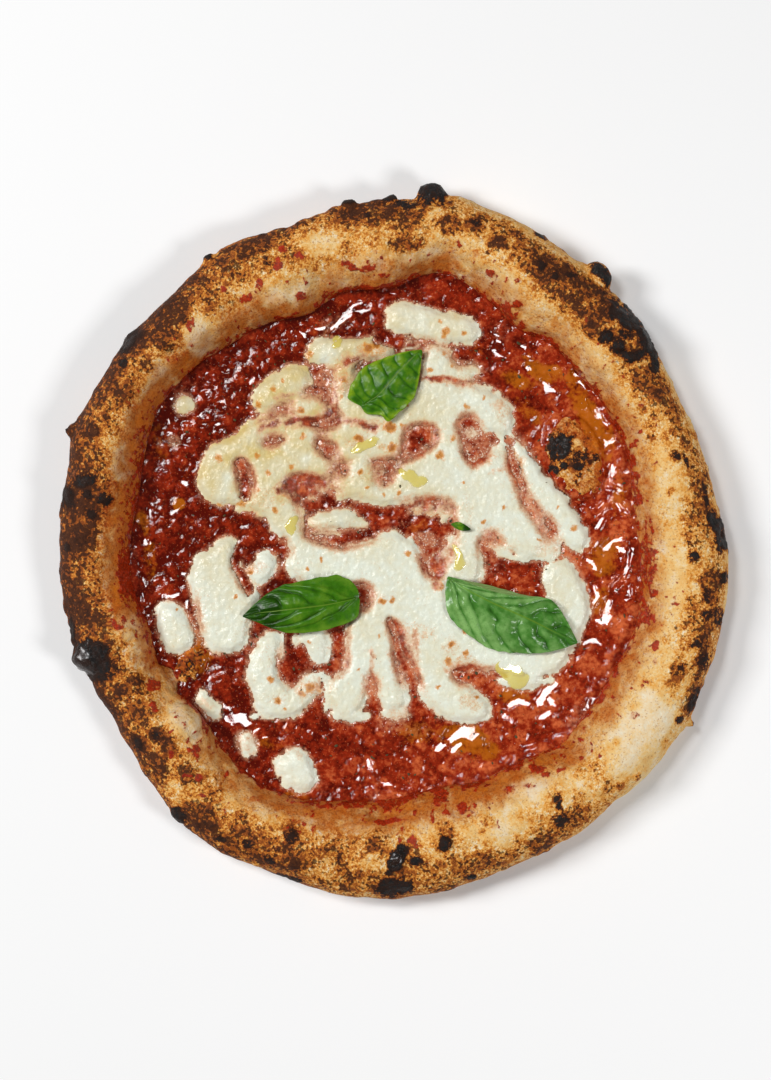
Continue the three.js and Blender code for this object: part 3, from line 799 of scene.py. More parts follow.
@dataclass(frozen=True)
class DoughFinish:
    """Baked dough: pale crumb, gold, brown freckles, char, tomato stains and oil from the sauce, which holds
    painted shade on the rim's left wall.
    """

    raw: tuple = linear(240, 228, 202)
    cream: tuple = linear(239, 199, 130)
    gold: tuple = linear(232, 164, 72)
    orange: tuple = linear(202, 119, 37)
    amber: tuple = linear(154, 80, 27)
    brown: tuple = linear(104, 50, 18)
    dark: tuple = linear(46, 24, 13)
    char: tuple = linear(30, 27, 26)
    ash: tuple = linear(98, 80, 72)
    speck: tuple = linear(168, 88, 26)
    tomato: tuple = linear(112, 16, 3)
    flesh: tuple = linear(198, 54, 20)
    tomato_tint: tuple = linear(196, 96, 34)
    soaked: tuple = linear(206, 146, 92)
    oil: tuple = linear(226, 126, 20)

    def tone(self, sketch: Sketch, toast: object, char: object, grains: Sequence[object]) -> NodeSocket:
        """Works out how dark the dough is baked.

        Args:
            sketch: The material's tree.
            toast: How well baked each point is.
            char: How charred it is.
            grains: The broad, the middle and the fine noise of the crumb.

        Returns:
            The tone's output, from 0 for raw dough to 1 for char.
        """
        patch, grit, crumb = grains
        grainy = sketch.sum((sketch.stepped(toast, 0.12, 0.42, 1.1), 1.0), 0.3)
        grain = sketch.times(sketch.sum((grit, 1.1), (crumb, 0.75)), grainy)
        tone = sketch.sum((toast, 0.76), (patch, 0.32), (grain, 1.05), -0.11)
        deeper = sketch.stepped(tone, 0.58, 1.3, 0.24)
        tone = sketch.node("ShaderNodeMath", {0: tone, 1: 0.58}, operation="MINIMUM").outputs[0]
        tone = sketch.sum((tone, 1.0), (deeper, 1.0))
        ragged = sketch.times(sketch.sum((grit, 1.7), (crumb, 0.7)), sketch.stepped(char, 0.0, 0.3))
        burning = sketch.stepped(sketch.sum((char, 1.0), (ragged, 1.0)), 0.25, 0.9, 0.52)
        return sketch.sum((tone, 1.0), (burning, 1.0), (char, 0.16))

    def build(self, effects: Effects) -> Material:
        """Makes the material.

        Args:
            effects: The shared shader groups.

        Returns:
            The material. It reads toast, char, stain and oil at each vertex.
        """
        made, sketch = blank("baked_dough")
        toast, char = sketch.field("toast"), sketch.field("char")
        stain, oil = sketch.field("stain"), sketch.field("oil")
        patch = sketch.lumps(9.0, 2.0, 1.0)
        grit = sketch.sum((sketch.lumps(2.8, 6.0, 4.0, 0.74), 1.0), -0.5)
        crumb = sketch.sum((sketch.lumps(0.9, 3.0, 5.0, 0.6), 1.0), -0.5)
        tone = self.tone(sketch, toast, char, (patch, grit, crumb))
        base = sketch.ramp(
            tone, (0.02, self.raw), (0.18, self.cream), (0.32, self.gold), (0.43, self.orange),
            (0.54, self.amber), (0.66, self.brown), (0.8, self.dark), (1.0, self.char),
        )
        ashy = sketch.times(sketch.stepped(crumb, 0.04, 0.2, 0.5), sketch.stepped(tone, 0.85, 1.05))
        base = sketch.blend(ashy, base, self.ash)
        specks = effects.freckled(sketch, sketch.sum((toast, 0.5), (oil, 0.3), 0.14), 0.9, 3.0, 0.05)
        base = sketch.blend(sketch.times(specks, sketch.stepped(tone, 0.7, 0.4, 0.55)), base, self.speck)
        flecks = effects.freckled(sketch, sketch.sum((toast, 0.86), (patch, 0.3), -0.22), 1.8, 5.0, 0.03)
        base = sketch.blend(sketch.times(flecks, sketch.stepped(toast, 0.22, 0.5, 0.8)), base, self.dark)
        oil = sketch.times(oil, sketch.stepped(char, 0.7, 0.2))
        # The oil's darkening, which on the rim's left wall is partly painted shade.
        soaked = sketch.node(
            "ShaderNodeMix", {0: sketch.stepped(oil, 0.0, 0.5), 6: base, 7: self.soaked},
            data_type="RGBA", blend_type="MULTIPLY",
        )
        slick = sketch.stepped(sketch.sum((oil, 1.0), (grit, 0.5)), 0.4, 1.0, 0.6)
        base = sketch.blend(slick, soaked.outputs[2], self.oil)
        base = sketch.blend(sketch.stepped(stain, 0.05, 0.7, 0.4), base, self.tomato_tint)
        blots = sketch.sum((sketch.lumps(2.4, 5.0, 8.0, 0.65), 2.6), (stain, 0.85), -1.3)
        red = sketch.times(sketch.stepped(blots, 0.4, 0.62), sketch.stepped(stain, 0.04, 0.3))
        bits = sketch.stepped(sketch.sum((grit, 1.0), (crumb, 1.0)), -0.25, 0.3)
        flesh = sketch.blend(bits, self.tomato, self.flesh)
        base = sketch.blend(sketch.times(red, 0.95), base, flesh)
        burnt, blistered = sketch.stepped(char, 0.5, 1.1), sketch.stepped(char, 1.05, 1.3)
        rough = sketch.sum((red, -0.35), (oil, -0.35), (burnt, -0.3), (blistered, -0.28), 0.72)
        height, crags = effects.rough(sketch, 1.8, 0.8, 0.1), sketch.times(char, grit)
        height = sketch.sum((height, 0.7), (grit, 1.1), (crumb, 0.3), (crags, 1.4), (red, 0.25))
        glaze = sketch.stepped(char, 0.9, 1.3, 0.7)
        gloss = {"Specular_IOR_Level": 0.18, "Coat_Weight": glaze, "Coat_Roughness": 0.2}
        surface(sketch, base, rough, height, 0.7, 0.9, **gloss)
        return made


@dataclass(frozen=True)
class SauceFinish:
    """Crushed tomato: dark juice, brighter pulp, orange oil, the haze where milk ran into it, and painted
    light and shade.
    """

    juice: tuple = linear(86, 10, 0)
    flesh: tuple = linear(150, 40, 12)
    pulp: tuple = linear(214, 106, 58)
    oil: tuple = linear(182, 98, 10)
    milk: tuple = linear(198, 140, 106)
    curd: tuple = linear(236, 222, 200)
    seed: tuple = linear(64, 28, 8)

    def tomato(self, sketch: Sketch, effects: Effects) -> tuple[object, object, object]:
        """Makes the tomato's own colour.

        Args:
            sketch: The material's tree. Its mesh holds pulp and warm at each vertex; warm holds painted light
                and shade.
            effects: The shared shader groups.

        Returns:
            The colour's output, and those of the broad and the fine noise in it.
        """
        # warm brightens the tomato as painted light to the right, to the bottom and in the mozzarella's gaps,
        # and darkens it as painted shade to the left.
        pulp, warm = sketch.field("pulp"), sketch.field("warm")
        patch = sketch.lumps(7.0, 4.0, 2.0)
        fine = sketch.lumps(1.7, 4.0, 4.0)
        tone = sketch.sum((pulp, 0.62), (warm, 0.36), (patch, 0.8), (fine, 1.2), -1.16)
        base = sketch.ramp(tone, (0.05, self.juice), (0.5, self.flesh), (0.95, self.pulp))
        specks = effects.freckled(sketch, 0.2, 1.0, 7.0)
        base = sketch.blend(sketch.times(specks, 0.4), base, self.pulp)
        seeds = effects.freckled(sketch, 0.16, 1.1, 9.0)
        return sketch.blend(sketch.times(seeds, 0.6), base, self.seed), patch, fine

    def build(self, effects: Effects) -> Material:
        """Makes the material.

        Args:
            effects: The shared shader groups.

        Returns:
            The material. It reads pulp, warm, oily, milk and wet at each vertex.
        """
        made, sketch = blank("crushed_tomato")
        base, patch, fine = self.tomato(sketch, effects)
        oily, milk, wet = sketch.field("oily"), sketch.field("milk"), sketch.field("wet")
        slick = sketch.sum((oily, 1.1), (patch, 1.5), (fine, 1.7), -1.65)
        slick = sketch.times(sketch.stepped(slick, 0.1, 0.9, 0.8), sketch.stepped(oily, 0.0, 0.4))
        base = sketch.blend(slick, base, self.oil)
        clouds = sketch.sum((milk, 1.0), (fine, 1.9), (patch, 0.8), -1.35)
        clouds = sketch.times(sketch.stepped(clouds, 0.0, 1.1, 0.7), sketch.stepped(milk, 0.0, 0.5))
        base = sketch.blend(clouds, base, self.milk)
        curds = effects.freckled(sketch, sketch.sum((milk, 0.42), -0.02), 0.8, 11.0, 0.04)
        base = sketch.blend(sketch.times(curds, 0.75), base, self.curd)
        height = effects.rough(sketch, 1.8, 0.9, 0.0)
        height = sketch.sum((height, 1.0), (sketch.times(wet, height), -0.9))
        surface(sketch, base, 0.06, height, 0.2, 0.8, Specular_IOR_Level=0.5)
        return made


@dataclass(frozen=True)
class CheeseFinish:
    """Melted mozzarella: ivory, with small toasted spots, and so thin at its edges that the sauce shows."""

    thick: tuple = linear(234, 238, 221)
    warm: tuple = linear(217, 194, 126)
    toasted: tuple = linear(214, 140, 52)
    toast_core: tuple = linear(150, 76, 20)
    thin: tuple = linear(228, 178, 136)
    sauce: SauceFinish = SauceFinish()

    def build(self, effects: Effects) -> Material:
        """Makes the material.

        Args:
            effects: The shared shader groups.

        Returns:
            The material. It reads thin, toast, yellow and the sauce's pulp and warm at each vertex. The
            sauce's warm holds painted light and shade.
        """
        made, sketch = blank("melted_mozzarella")
        thin, toast, yellow = sketch.field("thin"), sketch.field("toast"), sketch.field("yellow")
        grain = sketch.lumps(1.5, 4.0, 6.0, 0.65)
        broad = sketch.lumps(4.5, 4.0, 9.0)
        base = sketch.blend(sketch.sum((yellow, 1.0), (broad, 0.8), -0.4), self.thick, self.warm)
        crisp = sketch.lumps(0.8, 3.0, 12.0, 0.7)
        spotted = sketch.sum((toast, 1.0), (grain, 1.1), (crisp, 1.3), -1.28)
        base = sketch.blend(sketch.stepped(spotted, 0.0, 0.75, 0.92), base, self.toasted)
        base = sketch.blend(sketch.stepped(spotted, 0.75, 1.1, 0.65), base, self.toast_core)
        edge = sketch.sum((thin, 1.0), (grain, 0.85), (broad, 0.5), (crisp, 0.6), -0.97)
        base = sketch.blend(sketch.stepped(edge, 0.1, 0.6, 0.75), base, self.thin)
        tomato = self.sauce.tomato(sketch, effects)[0]
        tomato = sketch.blend(sketch.stepped(edge, 1.1, 0.6, 0.35), tomato, self.sauce.milk)
        base = sketch.blend(sketch.stepped(edge, 0.35, 0.95, 0.95), base, tomato)
        height = effects.rough(sketch, 1.6, 0.8, 0.2)
        rough = sketch.sum((sketch.stepped(edge, 0.4, 1.0), -0.1), 0.18)
        surface(sketch, base, rough, height, 0.4, 0.9, Specular_IOR_Level=0.45)
        return made


@dataclass(frozen=True)
class OilFinish:
    """Olive oil: clear yellow, deeper in colour where it pools."""

    shallow: tuple = linear(246, 234, 128)
    deep: tuple = linear(238, 216, 84)
    clearness: float = 0.6

    def build(self, effects: Effects) -> Material:
        """Makes the material.

        Args:
            effects: The shared shader groups.

        Returns:
            The material. It reads deep at each vertex.
        """
        made, sketch = blank("clear_oil")
        deep = sketch.field("deep")
        tint = sketch.sum((sketch.lumps(4.0, 2.0, 3.0), 1.0), (deep, 0.6), -0.4)
        base = sketch.blend(tint, self.shallow, self.deep)
        height = effects.rough(sketch, 6.0, 3.0, 0.0)
        clear = sketch.sum((deep, 1.0), (sketch.lumps(2.0), 0.7), -0.4)
        clear = sketch.stepped(clear, 0.0, 0.9, self.clearness)
        surface(sketch, base, 0.04, height, 0.2, 0.2, Alpha=clear, Specular_IOR_Level=1.0)
        return made


@dataclass(frozen=True)
class LeafFinish:
    """A basil leaf: deep green between the veins, yellower at them and at its margins, with painted light and
    shade from its quilting.
    """

    name: str = "basil"
    dark: tuple = linear(26, 62, 3)
    green: tuple = linear(60, 114, 14)
    light: tuple = linear(124, 158, 24)
    vein: tuple = linear(120, 154, 48)
    back: tuple = linear(124, 150, 88)
    roughness: float = 0.3

    def build(self, effects: Effects) -> Material:
        """Makes the material.

        Args:
            effects: The shared shader groups.

        Returns:
            The material. It reads tone, vein and back at each vertex; tone holds painted light and shade from
            the quilting.
        """
        made, sketch = blank(self.name)
        tone, vein, back = sketch.field("tone"), sketch.field("vein"), sketch.field("back")
        mottle = sketch.lumps(3.0, 4.0, 2.0)
        shade = sketch.sum((tone, 1.2), (mottle, 0.6), -0.4)
        base = sketch.ramp(shade, (0.05, self.dark), (0.45, self.green), (0.9, self.light))
        cells = effects.freckled(sketch, 0.3, 0.7, 2.0, 0.1)
        base = sketch.blend(sketch.times(cells, 0.25), base, self.dark)
        base = sketch.blend(sketch.times(vein, 0.7), base, self.vein)
        base = sketch.blend(back, base, self.back)
        height = effects.rough(sketch, 1.2, 0.5, 0.0)
        surface(sketch, base, self.roughness, height, 0.12, 0.5, Specular_IOR_Level=0.26)
        return made


@dataclass(frozen=True)
class HerbFinish:
    """Dried herb and pepper: dark olive and brown."""

    dark: tuple = linear(34, 30, 14)
    light: tuple = linear(96, 84, 40)

    def build(self, effects: Effects) -> Material:
        """Makes the material.

        Args:
            effects: The shared shader groups.

        Returns:
            The material.
        """
        made, sketch = blank("dried_herb")
        base = sketch.blend(sketch.lumps(2.0, 1.0, 1.0), self.dark, self.light)
        surface(sketch, base, 0.6, effects.rough(sketch, 0.6, 0.3, 0.0), 0.1, 0.5)
        return made


# ---------------------------------------------------------------- the rim and the dough

# How well baked the top of the rim is, all round: direction in degrees, share.
BAKED = [
    (0, 0.3), (30, 0.37), (60, 0.42), (90, 0.42), (115, 0.43), (140, 0.54), (165, 0.62), (185, 0.64),
    (215, 0.6), (240, 0.49), (270, 0.4), (290, 0.3), (325, 0.24), (345, 0.28), (360, 0.32),
]
# Marks on the dough: x, y, half length, half width, turn in degrees, strength.
CHARRED = [
    (17.5, 160, 7.5, 5.5, 0, 1), (95, 123, 7.5, 3.6, -50, 1), (-138, -54.5, 10, 7.6, -8, 1.5),
    (1, -158, 7.5, 4.2, 4, 1), (2, -144, 3.2, 7, -28, 1.3), (10, -146, 3, 2, 0, 0.9),
    (-151, 51, 2.5, 2, 40, 0.8), (140, -85, 2.5, 1.5, -35, 0.9), (106, 102.5, 10, 5, -40, 1),
    (116.5, 93, 4.6, 9, 14, 1), (120, 82, 2.6, 6, 8, 0.9), (97, 92, 3, 3, 0, 0.95),
    (102.5, 88, 2.8, 2.8, 0, 0.75), (107, 83.5, 3, 2.8, 0, 0.95), (112, 84.5, 4, 2, 25, 0.9),
    (106, 94, 4, 3, 0, 0.5), (23.5, -137.5, 3.4, 3, 0, 0.8), (-46, -134, 3, 3.8, 0, 0.62),
    (75, -118, 1.8, 4, 10, 0.8), (76, -127, 4.2, 2.8, 20, 0.75), (-98, -126, 4, 2.8, -45, 0.95),
    (-106, -121, 2, 3.5, 30, 0.9), (-121, 91, 3.2, 6.5, -35, 1), (-140, 27, 5, 3, 10, 0.95),
    (-148, 20, 3.5, 5, 10, 0.95), (-139, 21, 2, 2, 0, 0.9), (-131, 19, 3, 3.6, 0, 0.85),
    (-137, 12, 2, 2, 0, 0.8), (150.5, 2, 3.2, 9, 5, 1), (146.5, 9, 2.6, 5, 20, 0.95),
    (143, 20, 1.3, 7, 12, 0.55), (137, -7.5, 2.5, 2.5, 0, 0.95), (-123, 81, 2.6, 2.2, 0, 0.9),
    (-57, 127, 2.2, 2.6, 0, 0.5), (-85, 130.5, 2.6, 2, 45, 0.9), (-20, 156, 6, 1.6, 10, 0.9),
    (-2, 157, 3.6, 2, 0, 0.95), (68, 139.5, 4, 1.4, -30, 0.8), (143, -25, 2.2, 3.6, 10, 0.5),
    (143, -34, 2.8, 2.4, 0, 0.55), (150, -35, 3.4, 4.5, 20, 0.5), (138, -47, 3, 3, 0, 0.6),
    (152, -17, 2.2, 3.4, 0, 0.75), (142, -55, 3.4, 4.4, -15, 0.5), (131, -58, 1.6, 2.2, 0, 0.5),
    (138, -73, 2.2, 6.5, -24, 0.7), (131, -82, 2, 2.2, 0, 0.7), (36, -154, 2.6, 1.4, 0, 0.85),
    (129, 38.5, 2.4, 1.6, -30, 0.7), (133.5, 36, 1.2, 3, 25, 0.7), (-66, -138, 3, 1.8, -15, 0.6),
    (-78, -136, 2.4, 1.6, 0, 0.6), (-56, -146, 3.2, 1.6, -35, 0.6), (-25, -145, 2, 1.2, 0, 0.55),
    (-47, -155, 8, 1.6, -12, 0.7), (-116, -93, 2, 3.2, 30, 0.65), (-108, -88.5, 1.5, 1.7, 0, 0.7),
    (-148.5, -3, 2, 2, 0, 0.7), (-147, -41, 1.8, 6, 4, 0.8), (-12, 148.5, 1.8, 1.6, 0, 0.6),
    (6, 153.5, 5, 2.2, 0, 0.7), (67.5, 124.5, 2.2, 2, 0, 0.65), (73.5, 120, 1.6, 1.6, 0, 0.7),
    (81, 121, 2.6, 1.8, 0, 0.5), (38, 144.5, 2.4, 1.8, 0, 0.5), (77, 105, 3, 1.5, -40, 0.4),
]
TOASTED = [
    (-106, 101, 19, 9, 42, 0.5), (-66, 133.5, 14, 5, 27, 0.5), (-96, 118, 10, 5, 38, 0.35),
    (-12, 149, 14, 6, 4, 0.45), (78, 116, 26, 8.5, -36, 0.48), (96, 98, 9, 8, 0, 0.45),
    (108, 92, 9, 9, 0, 0.4), (116, 73, 8, 6, 30, 0.34), (38, 144, 5, 3.6, 0, 0.5), (26, 143, 6, 4.4, 0, 0.5),
    (48, 135, 5.4, 3, 0, 0.55), (62, 125, 5, 5, 0, 0.3), (7, 134, 8, 4, 0, 0.45), (5, 146, 8, 5, 0, 0.3),
    (-142, 10, 9, 13, 0, 0.5), (-150.5, -15, 3, 34, 0, 0.2), (-143, -32, 6, 6, 0, 0.3),
    (67, -138, 9, 3.2, 8, 0.5), (125, 61, 3.6, 3.6, 0, 0.5), (119, 58, 3, 2, 0, 0.35),
    (129, 50, 3, 2.6, 0, 0.4), (118, 47, 2, 1.4, 0, 0.4), (-116, -93, 3.4, 4.6, 30, 0.45),
    (-124, -68, 4.4, 2.8, 0, 0.45), (-132, -76, 3.6, 10, 28, 0.45), (146, -43, 7.5, 13, -15, 0.6),
    (146, -22, 6.5, 11, 0, 0.6), (133, -40, 4, 14, -8, 0.22), (127, -66, 4, 10, -25, 0.22),
    (132, 52, 4.5, 15, 20, 0.42), (140, 27, 5, 15, 12, 0.42), (136, 6, 6, 12, 8, 0.3),
    (124, 68, 5, 6, 20, 0.25), (143, 12, 6, 14, 10, 0.38), (140, 42, 4, 12, 15, 0.3),
    (133, 66, 4, 8, 20, 0.25), (30, -149, 30, 6, 5, 0.22), (-55, -141, 20, 7, -17, 0.2),
    (-80, -130, 14, 6, -30, 0.25), (24, -131.5, 4, 4, 0, 0.45), (-46, -132, 4.6, 5.6, 0, 0.4),
    (-137, 50, 3.6, 3.6, 0, 0.3), (-12, -155, 16, 5, 0, 0.3), (83, -124, 9, 4, 25, 0.4),
    (99, -112, 3, 4, 0, 0.3), (-146, -60, 5, 5, 0, 0.4), (-128, 79, 6, 8, -30, 0.3),
    (-136, 66, 5, 6, -30, 0.25), (-128, 64, 5, 5, 0, 0.3), (104, -97, 5, 3, 20, 0.28),
    (-92, 128, 8, 3, 40, 0.3), (139, -68, 5, 13, -20, 0.6), (130, -58, 4, 7, -10, 0.5),
    (-7, -136, 6, 5, 0, 0.4), (-98, 90, 4, 8, 20, 0.2), (141, -58, 6, 10, -20, 0.58),
    (-138, -22, 6, 16, 0, 0.16), (137, -34, 4, 12, 0, 0.36), (91, 113, 13, 5, -36, 0.6),
    (79, -131, 12, 4.5, 30, 0.5), (44, -146, 20, 5, 16, 0.36),
]
PALE = [
    (-88, 93, 7, 9, 10, 0.8), (-50, 115, 12, 8, 18, 0.4), (-33, 134, 10, 5, -8, 0.7),
    (62, 143, 36, 3.2, -36, 0.5), (-97, -115, 10, 6, 0, 0.6), (-123, 35, 5, 10, 0, 0.8),
    (114, -88, 11, 22, -33, 1), (129, -15, 5, 26, 0, 0.5), (126, 24, 4, 22, 12, 0.5),
    (62, -113, 9, 5, 20, 0.5), (18, 152, 3, 6, -20, 0.7), (36, 135, 8, 3, 0, 0.5), (12, 130, 12, 3, 12, 0.5),
    (-120, -40, 8, 8, 0, 0.5), (118, 58, 5, 4, 0, 0.35), (-95, -83, 6, 10, 38, 0.8),
    (-106, 72, 8, 10, 20, 0.4), (48, 117, 10, 8, -40, 0.5), (95, 78, 10, 7, -45, 0.4),
    (48, -131, 16, 4, 8, 0.4), (135, -66, 2.5, 9, -14, 0.5), (-134, -20, 8, 12, 0, 0.35),
    (-127, 52, 8, 14, 0, 0.3),
]
SPLASHED = [
    (-52, 125.5, 2.2, 3, -20, 1), (-50, 132.5, 2, 1.4, 0, 0.9), (-42.5, 129.5, 2.4, 1.6, -30, 0.9),
    (-19.5, 125, 3.6, 1.8, -20, 1), (-11, 124, 3.4, 1.5, 10, 0.9), (-60.5, 116, 1.6, 3, 10, 0.9),
    (-67, 110, 3.4, 1.8, 30, 0.85), (-42, 111.5, 2.8, 1.5, 0, 0.9), (-77, 114, 1.4, 2, 0, 0.9),
    (-92, 98.5, 2, 3, 0, 0.7), (-4, 121, 3, 1.2, 0, 0.9), (45, 122, 2.4, 1.6, -40, 0.9),
    (52, 106.5, 2.4, 3.2, 0, 0.9), (57, 108, 2.6, 1.8, 0, 0.9), (54.5, 101.5, 2.4, 1.8, 0, 0.9),
    (59, 99, 2.6, 2, 0, 0.8), (49, 109, 1.4, 2.6, 10, 0.7), (-122.5, -17, 3.6, 12, 6, 1),
    (-113, -35.5, 1.4, 6, 50, 1), (-127, -37.5, 1.8, 2.4, 0, 1), (-124.5, -39.8, 2, 1.4, 0, 1),
    (-122.7, -36.6, 1.6, 1.4, 0, 1), (-110, -66, 3, 3, 0, 1), (-109, -76, 1.2, 3.6, 20, 1),
    (-101, -96, 1.4, 2.8, 0, 1), (-90, -96, 2.4, 3.2, 20, 1), (-93, -107, 2.2, 1.2, 0, 1),
    (-88, -108, 2.4, 1.8, 20, 1), (-86.5, -116, 1.8, 1, 0, 0.9), (-1, -120, 9, 3.6, 4, 1),
    (-3, -128, 8, 1.3, 6, 0.9), (22, -118, 3.4, 3.6, 0, 1), (24.5, -124, 2.6, 1.6, 0, 1),
    (32, -121.5, 2.6, 3, 0, 0.9), (36, -122, 1.6, 3, 0, 0.7), (53, -114, 3.4, 1.8, 10, 0.7),
    (66, -105, 4, 1.8, 0, 1), (70, -107, 2, 1.2, 0, 0.9), (76, -105, 1.4, 0.9, 0, 0.9),
    (106, 47, 2, 1.4, 20, 1), (110.5, 44, 1.7, 1.5, 0, 1), (112, 29.5, 2.2, 2, 0, 1),
    (113.5, 18.5, 2, 2.6, 0, 1), (109, 37, 3, 5, 10, 0.8), (105, 36, 4, 7, 0, 0.7), (110, 22, 4, 7, 0, 0.6),
    (120, -24, 2, 2, 0, 1), (120, -48, 1.2, 2.6, -20, 1), (116, -10, 5, 12, 5, 0.75),
    (117.5, 3, 3, 8, 0, 0.6), (114, -33, 4, 7, 0, 0.9), (119, -35, 1.4, 1.4, 0, 0.8),
    (10, 121, 8, 2, 5, 0.5), (-30, 112, 4, 3, 20, 0.5), (62, -112, 2.6, 1.2, 0, 0.7),
    (-62, -118, 3, 1.2, 0, 0.5), (8, -136, 3, 2, 0, 0.7), (4, -133, 2, 1, 0, 0.6), (-112, 58, 3, 6, 15, 0.4),
    (-117, 48, 2, 5, 0, 0.5), (78, -97, 5, 2.4, 10, 0.5),
]
RINGS = [
    (-136, 50, 2.6), (-111, 79, 1.9), (-75, 122, 2), (-102, -94, 2.3), (-121, -44, 3.4), (-79, -109, 2),
    (-81, -131, 1.5), (44, -128, 1.9), (141, -52, 2.2), (-108, -88, 2.4), (-124, 25, 2),
]
# Burst blisters and flakes, round which the rim keeps the solid's sharper form: x, y, z, radius and how far
# they stand out.
BURST = [
    (17.5, 160, 16, 7.5, 0.3), (96, 121, 16, 6.4, 0.3), (-138, -54.5, 18, 9.8, 0.8),
    (1, -158.5, 15, 7.2, 0.3), (2, -145, 26, 5, 1.2), (-148, 51, 13, 3.4, 0.5), (139, -85, 12, 3, 0.5),
    (-1, 156, 17, 3.2, 0.4), (-20, 154.5, 16, 3.6, 0.4), (-84, 130, 15, 3, 0.5), (-98, -126, 15, 3.8, 0.5),
    (23.5, -137.5, 29, 3.6, 1.2), (103, 88.5, 27, 2.6, 1.2), (97, 92, 27, 3, 1.3), (107, 83.5, 26, 2.8, 1.2),
]
# Blisters that only stand out, given in the same way.
RAISED = [
    (137, -7.5, 24, 2.6, 1.2), (-46, -134, 25, 3.6, 1), (-131, 19, 25, 3.4, 0.9), (-139, 26, 24, 4.4, 0.8),
    (-136, 50, 23, 3.4, 0.9), (138, -47, 23, 3, 0.9), (-121, -43, 24, 4, 0.9), (44, -128, 24, 2.6, 0.7),
    (-57, 127, 24, 3, 0.8), (-12, 148.5, 25, 2.4, 0.8), (73.5, 120, 26, 2, 0.8), (67.5, 124.5, 25, 2.6, 0.8),
    (114, 92, 24, 6, 1.1), (10, -146, 23, 3, 0.8), (-95, -83, 22, 8.5, 2.6), (-113, -52, 22, 9, 2.2),
    (76, -127, 24, 3.6, 0.6), (147, 6, 21, 4.2, 0.7),
]


